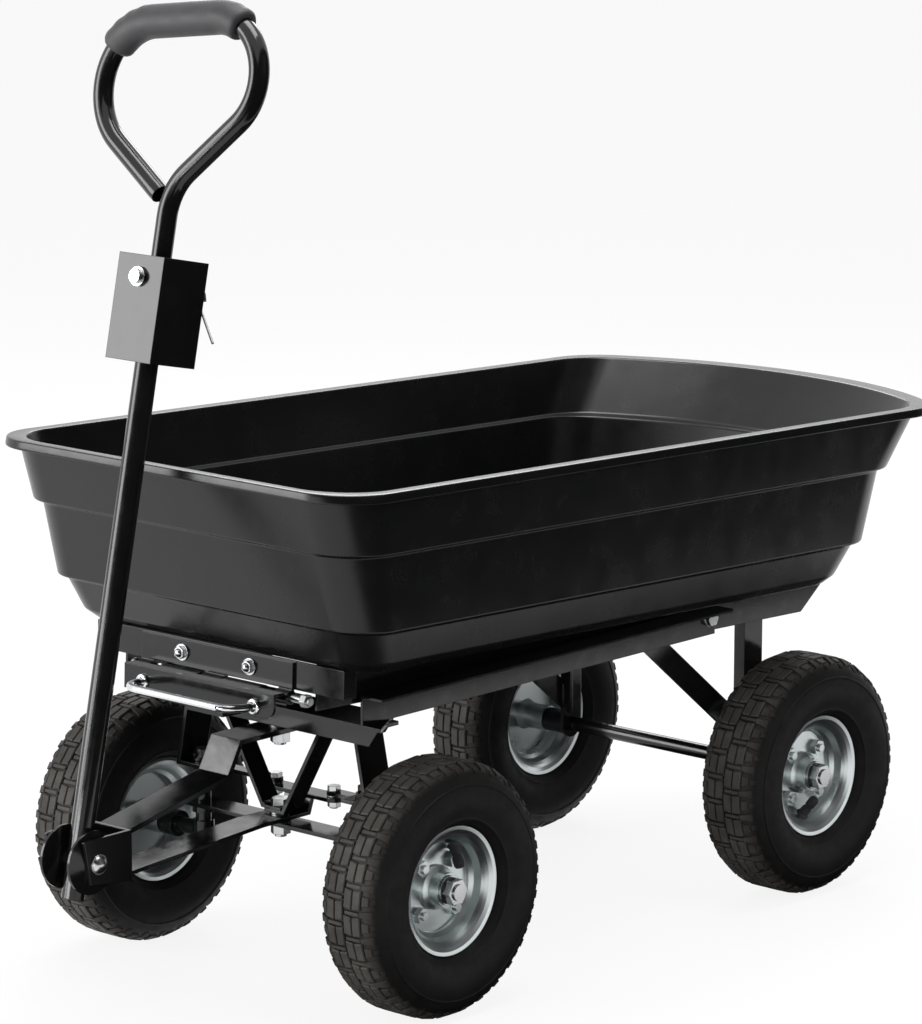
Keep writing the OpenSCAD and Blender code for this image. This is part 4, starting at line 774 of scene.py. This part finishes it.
def make_camera():
    cam = bpy.data.cameras.new("photo_camera")
    cam.sensor_width = SENSOR
    cam.lens = FOCAL_PX * SENSOR / IMAGE_H
    cam.clip_start, cam.clip_end = 0.1, 200.0
    look = Vector((math.cos(TILT) * math.cos(YAW), math.cos(TILT) * math.sin(YAW), math.sin(TILT)))
    level = look.cross(Vector((0, 0, 1))).normalized()
    upright = level.cross(look)
    right = level * math.cos(ROLL) + upright * math.sin(ROLL)
    up = upright * math.cos(ROLL) - level * math.sin(ROLL)
    pose = Matrix((right, up, -look)).transposed().to_4x4()
    pose.translation = EYE
    o = new_object("photo_camera", cam)
    o.matrix_world = pose
    bpy.context.scene.camera = o


make_camera()


# Floor, light and white surroundings

WHITE = (1, 1, 1, 1)
# Half the floor's side in metres, and how much of the floor's look is plain white
FLOOR_HALF, FLOOR_WHITE = 40, 0.87
# Strength of the surroundings as light, and as seen
WORLD_LIGHT, WORLD_SEEN = 0.55, 1.0


def seen(nt):
    """One where a camera, glossy or transmission ray looks, zero for the light itself."""
    rays = nt.nodes.new("ShaderNodeLightPath").outputs
    looks = maths(nt, "MAXIMUM", rays["Is Camera Ray"], rays["Is Glossy Ray"])
    return maths(nt, "MAXIMUM", looks, rays["Is Transmission Ray"])


def make_floor():
    h = FLOOR_HALF
    me = bpy.data.meshes.new("floor")
    me.from_pydata([(-h, -h, 0), (h, -h, 0), (h, h, 0), (-h, h, 0)], [], [(0, 1, 2, 3)])
    o = new_object("floor", me)
    mat = bpy.data.materials.new("pale_floor")
    mat.use_nodes = True
    nt = mat.node_tree
    b = nt.nodes["Principled BSDF"]
    b.inputs["Base Color"].default_value = (0.93, 0.93, 0.93, 1)
    b.inputs["Roughness"].default_value = 0.75
    glow = nt.nodes.new("ShaderNodeEmission")
    glow.inputs["Color"].default_value = WHITE
    glow.inputs["Strength"].default_value = 1.0
    share = maths(nt, "MULTIPLY", seen(nt), FLOOR_WHITE)
    mix_shaders(nt, share, b.outputs["BSDF"], glow.outputs["Emission"])
    me.materials.append(mat)


def make_world():
    world = bpy.data.worlds.new("studio")
    world.use_nodes = True
    nt = world.node_tree
    background = nt.nodes["Background"]
    background.inputs["Color"].default_value = WHITE
    level = nt.nodes.new("ShaderNodeMapRange")
    level.inputs["To Min"].default_value = WORLD_LIGHT
    level.inputs["To Max"].default_value = WORLD_SEEN
    nt.links.new(seen(nt), level.inputs["Value"])
    nt.links.new(level.outputs["Result"], background.inputs["Strength"])
    bpy.context.scene.world = world


def soft_light(name, place, target, width, height, watts):
    """A soft box that faces a target, with its place and sides in metres."""
    d = bpy.data.lights.new(name, "AREA")
    d.shape = "RECTANGLE"
    d.size, d.size_y, d.energy = width, height, watts
    o = new_object(name, d)
    o.location = place
    o.rotation_mode = "QUATERNION"
    o.rotation_quaternion = (Vector(target) - Vector(place)).to_track_quat("-Z", "Y")


def make_cards():
    """Dark cards beside and ahead of the cart that only its shine sees, as for any black object, and a dark
    card on the floor under the cart, a painted shadow that its shine sees in place of the floor's shade
    there.
    """
    beside = [(-1.7, 0.52, 0.16), (1.0, 0.52, 0.16), (1.0, 0.52, 1.4), (-1.7, 0.52, 1.4)]
    # Card on the floor under the cart: a painted shadow for the cart's reflections, standing in for the
    # shade beneath it
    under = [(-0.9, -0.12, 0.004), (0.6, -0.12, 0.004), (0.6, 0.47, 0.004), (-0.9, 0.47, 0.004)]
    ahead = [(1.25, -0.22, 0.3), (1.25, 0.9, 0.3), (1.25, 0.9, 1.5), (1.25, -0.22, 1.5)]
    me = bpy.data.meshes.new("dark_card")
    me.from_pydata(beside + under + ahead, [], [(0, 1, 2, 3), (4, 5, 6, 7), (8, 9, 10, 11)])
    mat = bpy.data.materials.new("dark_card")
    mat.use_nodes = True
    b = mat.node_tree.nodes["Principled BSDF"]
    b.inputs["Base Color"].default_value = (0.015, 0.015, 0.015, 1)
    b.inputs["Specular IOR Level"].default_value = 0.0
    b.inputs["Roughness"].default_value = 0.9
    me.materials.append(mat)
    o = new_object("dark_card", me)
    o.visible_camera = o.visible_diffuse = o.visible_shadow = o.visible_transmission = False


make_floor()
make_world()
soft_light("top_box", (0.0, 0.1, 3.2), (0, 0, 0.4), 1.6, 1.8, 66)
soft_light("front_box", (2.7, -2.0, 1.0), (0.2, 0, 0.5), 1.6, 1.7, 54)
soft_light("side_box", (-0.6, 3.4, 2.2), (0, 0, 0.4), 2.2, 1.2, 30)
soft_light("low_box", (2.3, -0.25, 0.4), (0.3, 0, 0.3), 0.9, 0.5, 14)
soft_light("back_box", (-2.4, -1.7, 2.2), (0, 0, 0.5), 2.0, 1.1, 40)
make_cards()

bpy.context.scene.view_settings.view_transform = "Standard"
